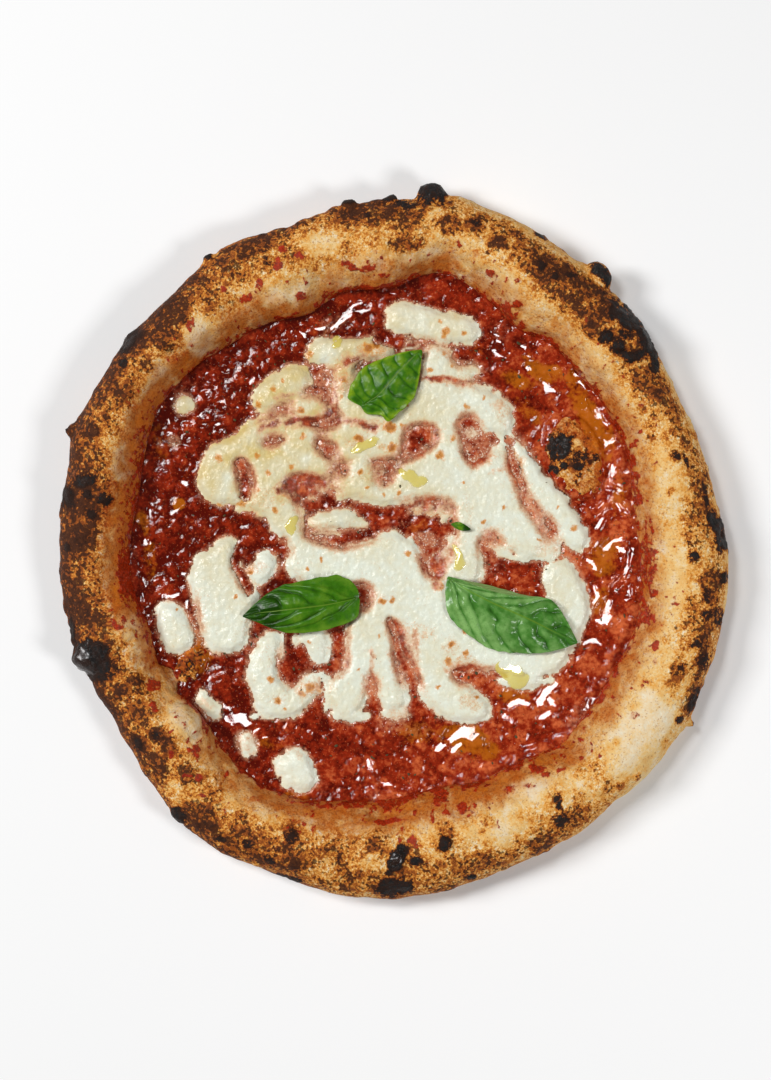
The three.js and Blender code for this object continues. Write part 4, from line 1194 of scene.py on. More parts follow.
@dataclass
class Crust:
    """The baked dough: its puffy rim, its disc, and its flat underside.

    Each section of the rim is cast from a core line inside it onto the solid, then the small blisters,
    lumps, streaks and crags that the solid leaves out are raised on it.
    """

    solid: Solid
    columns: int = 900
    rows: int = 92
    rays: int = 110  # in a section, before its points are spaced evenly
    core_height: float = 11.0
    core_share: float = 0.5
    foot_height: float = 4.6
    clear_radius: float = 106.0  # outside the bubbles of the disc, inside the rim
    girth_radius: float = 120.0  # at which the way round the rim is measured
    beneath_height: float = 7.0  # below it, and beneath_reach outside the foot, lies the rim's underside
    beneath_reach: float = 12.0
    beneath_share: float = 0.55  # how much of the way there counts when the points are spaced
    underside_toast: float = 0.42
    lumps: float = 0.62
    blisters: int = 420
    seed: int = 11
    under: Sequence[float] = (0.12, 0.35, 0.6, 0.8, 0.93)  # rings of the underside, as shares of its radius

    def __post_init__(self) -> None:
        """Measures the rim's foot and outline."""
        self.angles = np.linspace(0, 2 * math.pi, self.columns, endpoint=False)
        self.foot = self.cast(self.clear_radius, BOARD_TO_SAUCE, 1, 3.0)
        self.outline = self.cast(200.0, self.core_height, -1, 9.0)

    def cast(self, start: float, height: float, way: int, spread: float) -> Array:
        """Radius of the dough's surface all round, at one height.

        Args:
            start: Radius that the rays start from.
            height: Their height.
            way: 1 to cast outwards, -1 to cast inwards.
            spread: How far the radii are smoothed, in columns.

        Returns:
            One radius for each column.
        """
        radii = []
        for angle in self.angles:
            out = (math.cos(angle), math.sin(angle))
            run = self.solid.reach((start * out[0], start * out[1], height), (way * out[0], way * out[1], 0))
            radii.append(start + way * (run or 0.0))
        return blurred(np.array(radii), spread, 0, wraps=True)

    def foot_at(self, at: Places) -> Array:
        """Radius of the rim's foot in the direction of each point."""
        turn = np.mod(np.arctan2(at[1], at[0]), 2 * math.pi)
        return np.interp(turn, np.append(self.angles, 2 * math.pi), np.append(self.foot, self.foot[0]))

    def sections(self) -> tuple[Array, Array]:
        """Casts the rim's sections from the core onto the solid.

        Returns:
            Radius and height of every section's points, from the underside over the top to the foot.
        """
        core = self.foot + (self.outline - self.foot) * self.core_share
        first = math.radians(-86)
        last = math.pi + np.arctan2(self.core_height - self.foot_height, core - self.foot)
        tilt = first + (last - first)[:, None] * np.linspace(0, 1, self.rays)
        length = np.zeros(tilt.shape)
        for i, angle in enumerate(self.angles):
            out = (math.cos(angle), math.sin(angle))
            start = (core[i] * out[0], core[i] * out[1], self.core_height)
            for k in range(self.rays):
                flat, up = math.cos(tilt[i, k]), math.sin(tilt[i, k])
                length[i, k] = self.solid.reach(start, (flat * out[0], flat * out[1], up)) or length[i, k - 1]
        close = blurred(blurred(length, 1.2, 0, wraps=True), 1.0, 1)
        wide = blurred(blurred(length, 4.5, 0, wraps=True), 2.0, 1)
        radius = core[:, None] + wide * np.cos(tilt)
        x, y = radius * np.cos(self.angles)[:, None], radius * np.sin(self.angles)[:, None]
        burst = np.zeros(x.shape)
        for cx, cy, _, size, _ in BURST:
            burst = np.maximum(burst, smooth(np.hypot(x - cx, y - cy), 1.9 * size, 0.9 * size))
        length = wide + (close - wide) * burst
        return core[:, None] + length * np.cos(tilt), self.core_height + length * np.sin(tilt)

    def resampled(self, radius: Array, height: Array) -> tuple[Array, Array]:
        """Spaces the sections' points evenly along the dough, wider apart beneath it.

        Args:
            radius: Radius of every section's points.
            height: Their height.

        Returns:
            Radius and height of as many points as there are rows.
        """
        made = np.zeros((2, self.columns, self.rows))
        share = np.linspace(0, 1, self.rows)
        for i in range(self.columns):
            run = np.hypot(np.diff(radius[i]), np.diff(height[i]))
            low, far = height[i, 1:] < self.beneath_height, radius[i, 1:] > self.foot[i] + self.beneath_reach
            run *= np.where(low & far, self.beneath_share, 1.0)
            along = np.append(0, np.cumsum(run))
            along /= along[-1]
            made[:, i] = np.interp(share, along, radius[i]), np.interp(share, along, height[i])
        return made[0], made[1]

    def lay_out(self) -> None:
        """Works out the points over the rim, and what its colours and its relief share there."""
        self.radius, z = self.resampled(*self.sections())
        cosine, sine = np.cos(self.angles)[:, None], np.sin(self.angles)[:, None]
        self.at = self.radius * cosine, self.radius * sine, z
        self.along = self.angles[:, None] * self.girth_radius
        self.share = (self.radius - self.foot[:, None]) / (self.outline - self.foot)[:, None]
        self.up = smooth(z, 3.0, 9.0)
        self.wall = smooth(self.share, 0.5, 0.2) * self.up
        streak = noise((self.along, 0.16 * self.radius), 2.6, 41)
        self.streak = streak + 0.7 * noise((self.along, 0.25 * self.radius), 1.3, 42)
        self.wobble = 0.24 * layered(self.at, 5.0, 3)
        rough = 1.5 * self.wobble + 0.2 * noise(self.at, 2.2, 4)
        self.char = marked(CHARRED, self.at, rough, 0.5) * smooth(z, 2.0, 8.0)
        self.pale = marked(PALE, self.at, self.wobble)
        self.rings = ringed(RINGS, self.at)

    def toasted(self) -> Array:
        """Works out the baking.

        Returns:
            How well baked each point is.
        """
        (x, y, z), share = self.at, self.share
        turn, bakes = np.array(BAKED).T
        baked = np.interp(np.degrees(self.angles), turn, bakes)[:, None]
        crest = smooth(share + 0.07 * noise(self.at, 9, 7), 0.2, 0.54)
        toast = 0.2 + (baked - 0.2) * crest + 0.1 * smooth(share, 0.72, 0.9)
        toast -= 0.06 * smooth(z, 12, 5) * (share > 0.8)
        toast -= 0.2 * smooth(share, 0.8, 0.95) * smooth(x, -20, 60) * smooth(y, -190, -60)
        toast += grained(0, self.at, (0.16, 21, 5), (0.14, 8, 6)) * smooth(share, 0.1, 0.5)
        toast += marked(TOASTED, self.at, self.wobble) * 0.55 + 0.3 * self.rings
        toast = toast * (1 - 0.7 * self.pale) + 0.12 * smooth(self.char, 0.02, 0.5)
        return toast + 0.05 * self.streak * self.wall

    def stained(self) -> Array:
        """Works out where tomato has splashed onto the dough or boiled up to it, with painted shade at the
        left wall's foot.

        Returns:
            How much of it lies at each point.
        """
        (x, y, z), share = self.at, self.share
        stain = marked(SPLASHED, self.at, 1.6 * self.wobble + 0.4 * noise(self.at, 1.6, 23)) * self.up
        fleck = noise((self.along, 0.6 * self.radius, 0.3 * z), 2.1, 21) + 0.4 * noise(self.at, 14, 22)
        fleck = fleck + 0.1 * smooth(y, 0, 90) + 0.12 * smooth(y, 0, -90)
        stain = np.maximum(stain, 0.75 * smooth(fleck, 0.44, 0.74) * smooth(share, 0.66, 0.34))
        # A tomato band at the foot of the left wall, which is partly painted shade where that wall lies in
        # shade.
        stain = np.maximum(stain, 0.6 * smooth(x, -95, -118) * smooth(share, 0.3, 0.05))
        edge = grained(0.01, self.at, (0.05, 11, 25), (0.05, 4, 26))
        stain = np.maximum(stain, smooth(share - edge, 0.06, -0.02))
        return stain * (1 - 0.9 * smooth(self.char, 0.15, 0.5))

    def soaked(self) -> Array:
        """Works out where the dough has drunk oil, and the painted shade on the rim's left wall.

        Returns:
            How much of it each point holds, from 0 to 1.
        """
        x, y, _ = self.at
        # The soak grows towards the left and is strongest low on the left wall; there it is partly oil and
        # partly painted shade, where the wall lies in shade.
        most = 0.44 - 0.0004 * x + 0.4 * smooth(x, -85, -120) * smooth(y, -50, -20)
        soak = smooth(self.share, 0.5 - 0.0006 * x, 0.06) * most
        soak *= 0.85 + 0.3 * smooth(y, -60, -115) - 0.45 * smooth(x, -20, -60) * smooth(y, -60, -95)
        soak *= grained(1, self.at, (0.6, 12, 24), (0.55, 4, 27), (0.3, 1.9, 28))
        return np.clip(soak * (1 - 0.5 * self.pale), 0, 1)

    def relief(self, stain: Array) -> Array:
        """Works out the relief, apart from the blisters.

        Args:
            stain: How much tomato lies at each point.

        Returns:
            How far each point stands out.
        """
        rise = self.lumps * grained(0, self.at, (1, 15, 31), (0.55, 6.5, 32), (0.35, 3.2, 36)) * self.up
        rise += grained(0.25 * self.streak, self.at, (0.6, 9, 37)) * self.wall
        crags = grained(0, self.at, (0.7, 2.8, 34), (0.45, 1.6, 35))
        rise += self.char * np.clip(2 - 1.2 * self.char, 0.3, 1) * crags + 0.2 * smooth(self.char, 0.4, 1)
        return rise + (0.22 * smooth(stain, 0.3, 0.8) + 0.4 * self.rings * self.up)

    def blistered(self, toast: Array) -> Array:
        """Works out the blisters, and browns the tops of some.

        Args:
            toast: How well baked each point is, to which the browning is added.

        Returns:
            How far the blisters stand out at each point.
        """
        draw = np.random.default_rng(self.seed)
        (x, y, z), share = self.at, self.share
        rise = np.zeros(x.shape)
        for cx, cy, cz, size, height in BURST + RAISED:
            away = np.sqrt((x - cx) ** 2 + (y - cy) ** 2 + 0.4 * (z - cz) ** 2) / size
            away = away + 0.12 * noise(self.at, 3.0, 40)
            rise = np.maximum(rise, height * np.sqrt(np.clip(1 - away**2, 0, 1)))
        for _ in range(self.blisters):
            i, k = int(draw.integers(self.columns)), int(draw.integers(self.rows * 0.12, self.rows * 0.93))
            size = 1.3 + 3.4 * float(draw.random()) ** 2.4
            height = size * float(draw.uniform(0.14, 0.3))
            browned = float(draw.random()) < 0.5
            reach = int(size / 0.85) + 2
            span = np.arange(i - reach, i + reach + 1) % self.columns
            away = np.sqrt((x[span] - x[i, k]) ** 2 + (y[span] - y[i, k]) ** 2 + (z[span] - z[i, k]) ** 2)
            dome = np.clip(1 - (away / size) ** 2, 0, 1) ** 0.8
            inner = 0.5 if share[i, k] < 0.3 else 1.0
            rise[span] = np.maximum(rise[span], inner * height * dome)
            if browned and share[i, k] > 0.35:
                toast[span] += 0.22 * dome
        return rise * self.up

    def pushed(self, rise: Array) -> Places:
        """Moves the rim's points out along the surface's normal.

        Args:
            rise: How far each of them goes.

        Returns:
            The moved points.
        """
        points = np.stack(self.at, 2)
        around = np.roll(points, -1, 0) - np.roll(points, 1, 0)
        normal = np.cross(around, np.gradient(points, axis=1))
        normal /= np.linalg.norm(normal, axis=2, keepdims=True) + 1e-9
        return tuple(np.moveaxis(points + normal * rise[:, :, None], 2, 0))

    def build(self, finish: Material) -> None:
        """Makes the dough's piece.

        Args:
            finish: The dough's material.
        """
        self.lay_out()
        toast, stain = self.toasted(), self.stained()
        fields = {"toast": toast, "char": self.char, "stain": stain, "oil": self.soaked()}
        x, y, z = self.pushed(self.relief(stain) + self.blistered(toast))
        low, high = (np.array(corner) / MM - MIDDLE for corner in CAD_BOX)
        at = np.clip(x, low[0], high[0]), np.clip(y, low[1], high[1]), np.clip(z, 0.02, high[2])
        self.closed(at, fields, finish)

    def ring(self, radius: Array, height: float) -> Array:
        """A point in each column, at these radii and this height."""
        heights = np.full(self.columns, height)
        return np.stack([radius * np.cos(self.angles), radius * np.sin(self.angles), heights], 1)

    def closed(self, at: Places, fields: dict, finish: Material) -> None:
        """Joins the rim to the disc and the underside, and makes the piece.

        Args:
            at: The rim's points.
            fields: The material's values at those points.
            finish: The dough's material.
        """
        n, low = self.columns, DISC_TOP - 0.1
        first = np.hypot(at[0][:, 0], at[1][:, 0])
        rows = [self.ring(first * part, 0.0) for part in self.under]
        rows += list(np.moveaxis(np.stack(at, 2), 1, 0))
        disc = (self.foot - 1.6, self.foot - 6, self.foot * 0.6, self.foot * 0.2)
        rows += [self.ring(self.foot - 0.6, DISC_TOP + 0.1), *(self.ring(radius, low) for radius in disc)]
        points = np.concatenate([[[0, 0, 0]], *rows, [[0, 0, low]]])
        around = np.arange(n)
        after = (around + 1) % n
        faces = np.stack([np.zeros(n, int), 1 + after, 1 + around], 1).tolist()
        for k in range(len(rows) - 1):
            a, b = 1 + k * n, 1 + (k + 1) * n
            faces += np.stack([a + around, a + after, b + after, b + around], 1).tolist()
        a, last = 1 + (len(rows) - 1) * n, len(points) - 1
        faces += np.stack([a + around, a + after, np.full(n, last)], 1).tolist()
        beneath, beside = 1 + n * len(self.under), n * (len(rows) - len(self.under) - self.rows) + 1
        made = {}
        for title, values in fields.items():
            bare = np.full(beneath, self.underside_toast if title == "toast" else 0.0)
            made[title] = np.concatenate([bare, values.T.ravel(), np.full(beside, 0.1)])
        piece("crust_dough", points, faces, finish, ["crust"], made)


@dataclass
class DoughBubble:
    """A bubble of the disc that stands through the sauce, scorched on top and wet with oil round it."""

    name: str
    x: float
    y: float
    half_length: float
    half_width: float
    height: float
    turn: float
    charred: Sequence[tuple]
    browned: Sequence[tuple]
    soaked: Sequence[tuple]
    pits: Sequence[tuple] = ()  # x, y and radius
    sink: float = 1.0  # how deep its edge lies in the disc
    cell: float = 0.4
    spokes: int = 220

    def domed(self, away: Array) -> Array:
        """Height of the bubble where the square of the share of the way out to its edge is away."""
        return DISC_TOP - self.sink + (self.height + self.sink) * np.sqrt(np.clip(1 - away, 0, 1))

    def top_at(self, at: Places) -> Array:
        """Height of the bubble without its fine relief.

        Args:
            at: The points.

        Returns:
            The height at each point, and 0 outside the bubble.
        """
        along, across = in_oval((self.x, self.y, self.half_length, self.half_width, self.turn), at)
        away = along**2 + across**2
        return np.where(away < 1, self.domed(away), 0.0)

    def build(self, finish: Material) -> None:
        """Makes the bubble's piece.

        Args:
            finish: The dough's material.
        """
        rings = int(self.half_length / self.cell)
        share = np.linspace(1 / rings, 1, rings)[:, None]
        angle = np.linspace(0, 2 * math.pi, self.spokes, endpoint=False)[None]
        along, across = self.half_length * share * np.cos(angle), self.half_width * share * np.sin(angle)
        cosine, sine = math.cos(math.radians(self.turn)), math.sin(math.radians(self.turn))
        x = self.x + cosine * along - sine * across
        y = self.y + sine * along + cosine * across
        at = x, y, self.domed(share**2) + 0 * x
        wobble = 0.25 * layered(at, 3.5, 8)
        char = marked(self.charred, at, wobble, 0.45)
        rise = 0.8 * layered(at, 7.0, 9) + 0.7 * char * (1 + 0.7 * noise(at, 1.8, 10))
        for px, py, size in self.pits:
            away = np.hypot(x - px, y - py) / size * (1 + 0.4 * noise((x, y), 1.6, 17))
            rise += 0.5 * np.exp(-(((away - 1.15) / 0.35) ** 2)) - 0.7 * smooth(away, 1.0, 0.3)
            char = np.maximum(char, 0.62 * smooth(away, 1.6, 0.4))
        at = x, y, at[2] + rise * smooth(share, 1.0, 0.8)
        toast = grained(0.28, at, (0.22, 4, 12)) + 0.6 * marked(self.browned, at, wobble, 0.5)
        soak = marked(self.soaked, at, wobble, 0.5) * grained(1, at, (0.8, 3, 18))
        soak = np.clip(soak + 0.04 + 0.2 * smooth(share, 0.6, 0.9), 0, 1)
        stain = smooth(share + 0.4 * layered(at, 4, 14), 0.84, 1.1)
        self.closed(at, {"toast": toast, "char": char, "stain": stain, "oil": soak}, finish)

    def closed(self, at: Places, fields: dict, finish: Material) -> None:
        """Closes the bubble at its top and beneath, and makes the piece.

        Args:
            at: Its points, ring by ring from the top.
            fields: The material's values at those points.
            finish: The dough's material.
        """
        n = self.spokes
        points = np.stack(at, 2).reshape(-1, 3)
        count, last = len(points), len(points) - n
        ends = [[self.x, self.y, DISC_TOP - self.sink], [self.x, self.y, float(at[2][0].mean())]]
        around = np.arange(n)
        after = (around + 1) % n
        faces = np.stack([np.full(n, count + 1), around, after], 1).tolist()
        for a in range(0, last, n):
            faces += np.stack([a + around, a + n + around, a + n + after, a + after], 1).tolist()
        faces += np.stack([np.full(n, count), last + after, last + around], 1).tolist()
        made = {title: np.append(v.ravel(), [0.3, float(v[0].mean())]) for title, v in fields.items()}
        piece(self.name, np.concatenate([points, ends]), faces, finish, ["crust"], made)


# ---------------------------------------------------------------- the sauce

# Where oil has run over the sauce, and where milk has clouded it, as marks.
OILY = [
    (92, 55, 5, 16, 25, 1), (68, 78, 10, 4, -40, 0.8), (98, -8, 7, 9, 0, 0.7), (96, -28, 4, 8, -20, 0.6),
    (34, -92, 11, 7, -15, 0.9), (56, -72, 8, 5, 0, 0.6), (-92, -50, 9, 11, 20, 0.8),
    (58, 74, 8, 3.4, -25, 0.7), (22, 14, 5, 4, 0, 0.8), (-99, 17, 3, 3, 0, 0.8), (-115, 8, 3, 6, 10, 0.7),
    (-57, -94, 6, 2.6, -10, 0.5), (62, 60, 4, 12, 40, 0.45), (-108, 47, 5, 10, 0, 0.3),
    (-45, -118, 7, 3, 0, 0.6), (44, -97, 6, 4, 0, 0.7), (100, 45, 3, 10, 0, 0.5), (-65, 17, 8, 3, 0, 0.4),
    (105, 20, 4, 12, 0, 0.4), (-112, -10, 4, 10, 0, 0.4), (75, 78, 6, 3, -40, 0.7), (12, -88, 12, 6, 0, 0.4),
    (85, 72, 4, 8, 30, 0.6), (-22, 16, 6, 3, -10, 0.3),
]
MILKY = [
    (-101, 46, 3, 3.4, 0, 0.9), (-108, 45, 2, 2, 0, 0.7), (-68, -93, 5, 5, 0, 0.8), (0, -84, 9, 5, 0, 0.5),
    (88, -80, 8, 6, 20, 0.4), (-28, 101, 7, 4, 10, 0.4), (10, -88, 6, 4, 0, 0.3), (30, 78, 14, 6, 0, 0.45),
    (60, 42, 5, 9, 30, 0.7), (-8, -118, 4, 3, 0, 0.4), (50, 96, 7, 5, -30, 0.3), (-30, 74, 6, 5, 0, 0.4),
    (45, -12, 10, 6, -30, 0.3), (-20, 80, 8, 5, 0, 0.6), (70, 100, 3, 2, 0, 0.3), (-60, -56, 8, 6, 0, 0.15),
    (40, 44, 6, 8, 0, 0.35), (-97, 62.5, 5, 5, 0, 0.5),
]
# Lines along which clear juice stands smooth, so that it shines: half width, then places.
SHINING = [
    (1.3, [(92, 65), (94.5, 59), (99, 54), (102, 52)]), (1.0, [(84, 77), (87, 74), (89, 70)]),
    (1.2, [(70, 73), (71, 70), (75, 69)]), (0.8, [(98, 47), (99, 44), (103, 46)]),
    (1.0, [(102, 35), (102, 31)]), (0.8, [(98, 25), (101, 23.5)]), (0.9, [(104, 26), (106, 23)]),
    (1.2, [(93, 14), (95, 12.5), (98, 16)]), (1.0, [(104, 17), (106, 14), (109, 13)]),
    (1.0, [(95, 6), (97, 10)]), (1.1, [(98, -4), (102, 0), (107, 0)]), (1.2, [(104, -3), (107, -5)]),
    (1.2, [(90, -9), (93, -11), (94, -13)]), (1.0, [(110, -4), (109, -12), (107, -17)]),
    (1.0, [(107, -17), (102, -22), (105, -27), (111, -28), (110, -22)]),
    (1.2, [(100, -28), (98, -35), (103, -36)]), (1.4, [(95, -37), (99, -38)]),
    (0.9, [(93, -21), (95, -26), (92, -31), (88, -35)]), (1.1, [(88, -48), (93, -46), (98, -49)]),
    (1.6, [(68, -75), (71, -70), (75, -66)]), (1.3, [(71, -72), (76, -77)]), (1.5, [(69, -82), (72, -80)]),
    (1.3, [(54, -76), (58, -74), (63, -76)]), (1.5, [(52, -81), (55, -84)]), (1.2, [(61, -96), (66, -95)]),
    (1.5, [(87, -62), (88, -66)]), (1.0, [(90, -78), (92, -73)]), (2.6, [(27, -91), (33, -88), (39, -92)]),
    (1.6, [(21, -96), (26, -93)]), (1.4, [(28, -97), (31, -94)]),
    (2.2, [(-76, -82), (-70, -82), (-67, -84)]), (1.1, [(-78, -76), (-75, -80)]),
    (0.8, [(-64, -88), (-62, -87)]), (0.7, [(-60, -91), (-58, -91)]),
    (1.3, [(-12, -100), (-10, -106), (-9, -110)]), (0.7, [(-14, -104), (-15, -111)]),
    (0.8, [(-5, -112), (0, -113)]), (1.0, [(-29, 98), (-24, 101), (-19, 105), (-18, 110), (-14, 110)]),
    (0.8, [(-43, 97), (-40, 94)]), (0.8, [(-36, 98), (-30, 98)]),
    (0.8, [(-17, 106), (-13, 106), (-10, 107)]), (0.9, [(-104, 62), (-101, 66), (-97, 68)]),
    (0.7, [(-104, 60), (-103, 54)]), (0.6, [(-102, 12), (-97, 16)]), (1.0, [(-114, 28), (-112, 25)]),
    (0.9, [(-112, 14), (-110, 11)]), (1.2, [(-114, 0), (-113, -2)]), (0.8, [(-118, -7), (-119, -10)]),
    (0.9, [(-116, -17), (-115, -23), (-114, -28)]), (1.0, [(-106, -25), (-102, -26), (-99, -25)]),
    (0.9, [(-97, -15), (-95, -16)]), (1.0, [(-95, -28), (-95, -31)]), (1.0, [(-97, 27), (-95, 26)]),
    (0.9, [(-66, 74), (-64, 75)]), (0.6, [(-89, 77), (-86, 80)]), (1.0, [(47, 95), (50, 92)]),
    (1.0, [(60, 90), (64, 92)]), (1.2, [(62, 80), (64, 79)]), (0.9, [(46, 88), (51, 85)]),
    (1.0, [(62, 85), (65, 83)]), (0.7, [(-102, 50), (-104, 50)]), (1.1, [(-104, 75), (-105, 74)]),
    (1.0, [(-2, 115), (6, 115)]), (0.7, [(-14, 116), (-12, 115)]),
    (1.0, [(-93, -53), (-91, -57), (-92, -60), (-96, -59)]), (0.8, [(-96, -65), (-95, -66.5)]),
    (1.0, [(-105, -47), (-106, -50)]), (0.45, [(-88, 77.5), (-85, 78.6), (-82.4, 76.8)]),
    (0.45, [(-89, 68.6), (-86, 70), (-83.4, 68.6)]), (0.45, [(-91, 57), (-88, 58.4), (-85.2, 57)]),
    (0.4, [(-81.6, 63.6), (-79, 64.8), (-77, 63)]), (0.4, [(-82.4, 53.4), (-80, 54.4), (-78, 53)]),
    (0.4, [(-83, 72), (-81, 70.5)]), (0.4, [(-84.6, 54), (-86, 52.2)]), (0.9, [(-103, -52), (-101, -56)]),
    (0.9, [(-82, 3), (-80, 6)]), (0.8, [(-51, 34), (-52, 33)]),
]
# Rings of foam in the juice: x, y and radius.
FOAM = [
    (-85, 75, 3.4), (-86, 67, 2.6), (-88, 55, 3.2), (-79, 62, 2.4), (-80, 52, 2.2), (-95, 47, 1.8),
    (-77, 79, 2.0), (-96, 62, 4.6), (-40, 98, 2.2),
]
# Larger pieces of tomato: x, y, half length, half width, turn, height.
TOMATO = [
    (45, -105, 5, 3, 5, 1.1), (-1, -118.5, 8, 3.2, 4, 1.3), (78, 74, 6, 7, 20, 0.9),
    (20, 116, 7, 5, 10, 1.1), (30, 110, 8, 4, -15, 0.9), (-22, 112, 6, 4, 15, 0.9), (103, 38, 5, 6, 0, 0.8),
    (105, 5, 5, 6, 0, 0.9), (-32, -106, 7, 5, 0, 0.8), (-14, -104, 8, 5, 0, 0.6), (60, -80, 9, 6, 0, 0.8),
    (90, -58, 6, 6, 0, 0.9), (-105, 30, 6, 8, 0, 0.6), (-80, -66, 6, 6, 0, 0.8), (36, -113, 6, 3, 10, 0.9),
    (80, -92, 5, 3, 0, 0.5), (105, -40, 5, 8, -10, 0.9), (-120, -15, 3, 10, 5, 0.9),
    (-66, 95, 6, 3, 30, 0.8), (58, 84, 6, 5, 0, 0.6),
]


@dataclass
class Sauce:
    """Crushed tomato over the disc: pulp in lumps, clear juice between them, oil in places."""

    lattice: Lattice
    crust: Crust
    solid: Solid
    bubbles: Sequence[DoughBubble]
    shine: Callable  # gives the slope at which the juice shines at a place
    pulp_count: int = 14000
    scatter: float = 127.0  # half side of the square that its lumps are drawn in
    seed: int = 5
    rise: float = 0.95  # how far the pulp stands up
    into_wall: float = 3.0
    through: float = 3.2  # how far above the sauce a bubble of dough stands through it
    covered_by: float = 0.86  # share of cheese from which the sauce beneath is out of sight

    def lumps(self) -> Array:
        """Lays the pulp out in lumps, which are larger where whole tomato lies.

        Returns:
            How high the pulp stands at each lattice point.
        """
        plan, reach, cell = self.lattice.plan, self.lattice.reach, self.lattice.cell
        wx = grained(plan[0], plan, (1.2, 2.6, 51), (0.5, 1.4, 65))
        wy = grained(plan[1], plan, (1.2, 2.6, 52), (0.5, 1.4, 66))
        draw = np.random.default_rng(self.seed)
        pulp = np.zeros(wx.shape)
        for _ in range(self.pulp_count):
            cx, cy = draw.uniform(-self.scatter, self.scatter, 2)
            size = 1.0 + 3.0 * draw.random() ** 2.4
            high = 0.2 + 0.8 * draw.random()
            i, j = int((cx + reach) / cell), int((cy + reach) / cell)
            span = int((size + 1) / cell) + 1
            area = (slice(max(j - span, 0), j + span), slice(max(i - span, 0), i + span))
            away = ((wx[area] - cx) ** 2 + (wy[area] - cy) ** 2) / size**2
            dome = high * np.clip(1 - away, 0, 1) ** 0.6 * min(1, size / 1.6)
            pulp[area] = np.maximum(pulp[area], dome + 0.12 * pulp[area] * (dome > 0))
        wobble = 0.3 * noise(plan, 4, 55)
        for *oval, high in TOMATO:
            dome = marked([(*oval, 1)], plan, wobble)
            pulp = np.maximum(pulp * (1 - 0.5 * dome), dome * (0.7 + 0.3 * pulp) + 0.25 * (high - 1))
        return np.clip(softened(pulp, 0.5), 0, 1.2)

    def surface(self, cheese: Array) -> None:
        """Works out the sauce's top, and the values that its colours need.

        Args:
            cheese: How much mozzarella lies over each lattice point, from 0 to 1.
        """
        plan = x, y = self.lattice.plan
        self.edge = self.crust.foot_at(plan) - np.hypot(x, y)
        solid = self.lattice.sampled(self.solid, 6)
        level = softened(np.where(solid > 0, solid, BOARD_TO_SAUCE - 0.4), 6)
        inner = smooth(self.edge, 2.0, 12.0)
        climb = grained(0.4, plan, (0.7, 8, 58), (0.5, 3.5, 59)) * np.exp(-np.abs(self.edge) / 2.5)
        level = level * inner + (BOARD_TO_SAUCE - 0.1) * (1 - inner) + climb
        self.pulp = self.lumps()
        # warm is partly painted light: it darkens the sauce towards the left and the top as painted shade,
        # and brightens it towards the right and the bottom, partly for the oil there.
        self.warm = smooth(x - 0.45 * y + 25 * noise(plan, 30, 64), -80, 110)
        # Painted light: warm is raised in the mozzarella's gaps, so the sauce in these hollows is brighter.
        self.warm += 0.55 * smooth(softened(cheese, 14), 0.35, 0.7)
        juice = grained(0.25, plan, (0.35, 9.0, 53), (0.2, 4.0, 54))
        relief = merged_high(self.pulp, juice, 0.22) - 0.42
        relief += 0.5 * ringed(FOAM, plan) * (1 + 0.6 * noise(plan, 3, 67))
        lines = [(1.35 * half_width, line) for half_width, line in SHINING]
        self.wet, lean = leaning(lines, plan, 0.35 * noise(plan, 2.6, 56), self.shine)
        calm = 1 - 0.8 * smooth(cheese, 0.15, 0.6)
        relief = relief * self.rise * calm
        relief = relief * (1 - self.wet) + self.wet * (0.15 + lean) * calm
        self.top = level + relief - 0.4 * smooth(cheese, 0.5, 0.95)
        film = 0.35 * self.pulp + 0.9 * layered(plan, 5.0, 57)
        for bubble in self.bubbles:
            dough = bubble.top_at(plan)
            climbing = dough + 0.15 + film - 0.55 * np.clip(dough - BOARD_TO_SAUCE, 0, 9)
            self.top = np.where(dough > 0, np.maximum(self.top, climbing), self.top)

    def build(self, finish: Material, cheese: Array) -> None:
        """Makes the sauce's piece.

        Args:
            finish: The sauce's material.
            cheese: How much mozzarella lies over each lattice point, from 0 to 1.
        """
        plan = self.lattice.plan
        inside = self.edge > -self.into_wall
        for bubble in self.bubbles:
            inside &= bubble.top_at(plan) < BOARD_TO_SAUCE + self.through
        edges = softened(cheese, 1.5)
        wobble = 0.3 * layered(plan, 6.0, 61)
        oily = marked(OILY, plan, wobble, 0.55) + 0.25 * smooth(noise(plan, 20, 62), 0.2, 0.7)
        milky = 0.8 * marked(MILKY, plan, wobble, 0.6) + 0.6 * smooth(edges, 0.0, 0.3)
        milky += 0.2 * smooth(noise(plan, 13, 63), 0.25, 0.7) + 0.22 * smooth(softened(cheese, 16), 0.3, 0.65)
        fields = {"pulp": self.pulp, "warm": self.warm, "wet": self.wet}
        fields |= {"oily": np.clip(oily, 0, 1), "milk": np.clip(milky, 0, 1)}
        layer(
            "sauce_crushed_tomato", self.lattice, cells_in(inside), (SAUCE_FLOOR, self.top), finish,
            ["tomato_sauce"], fields, edges[:-1, :-1] > self.covered_by,
        )


# ---------------------------------------------------------------- the mozzarella

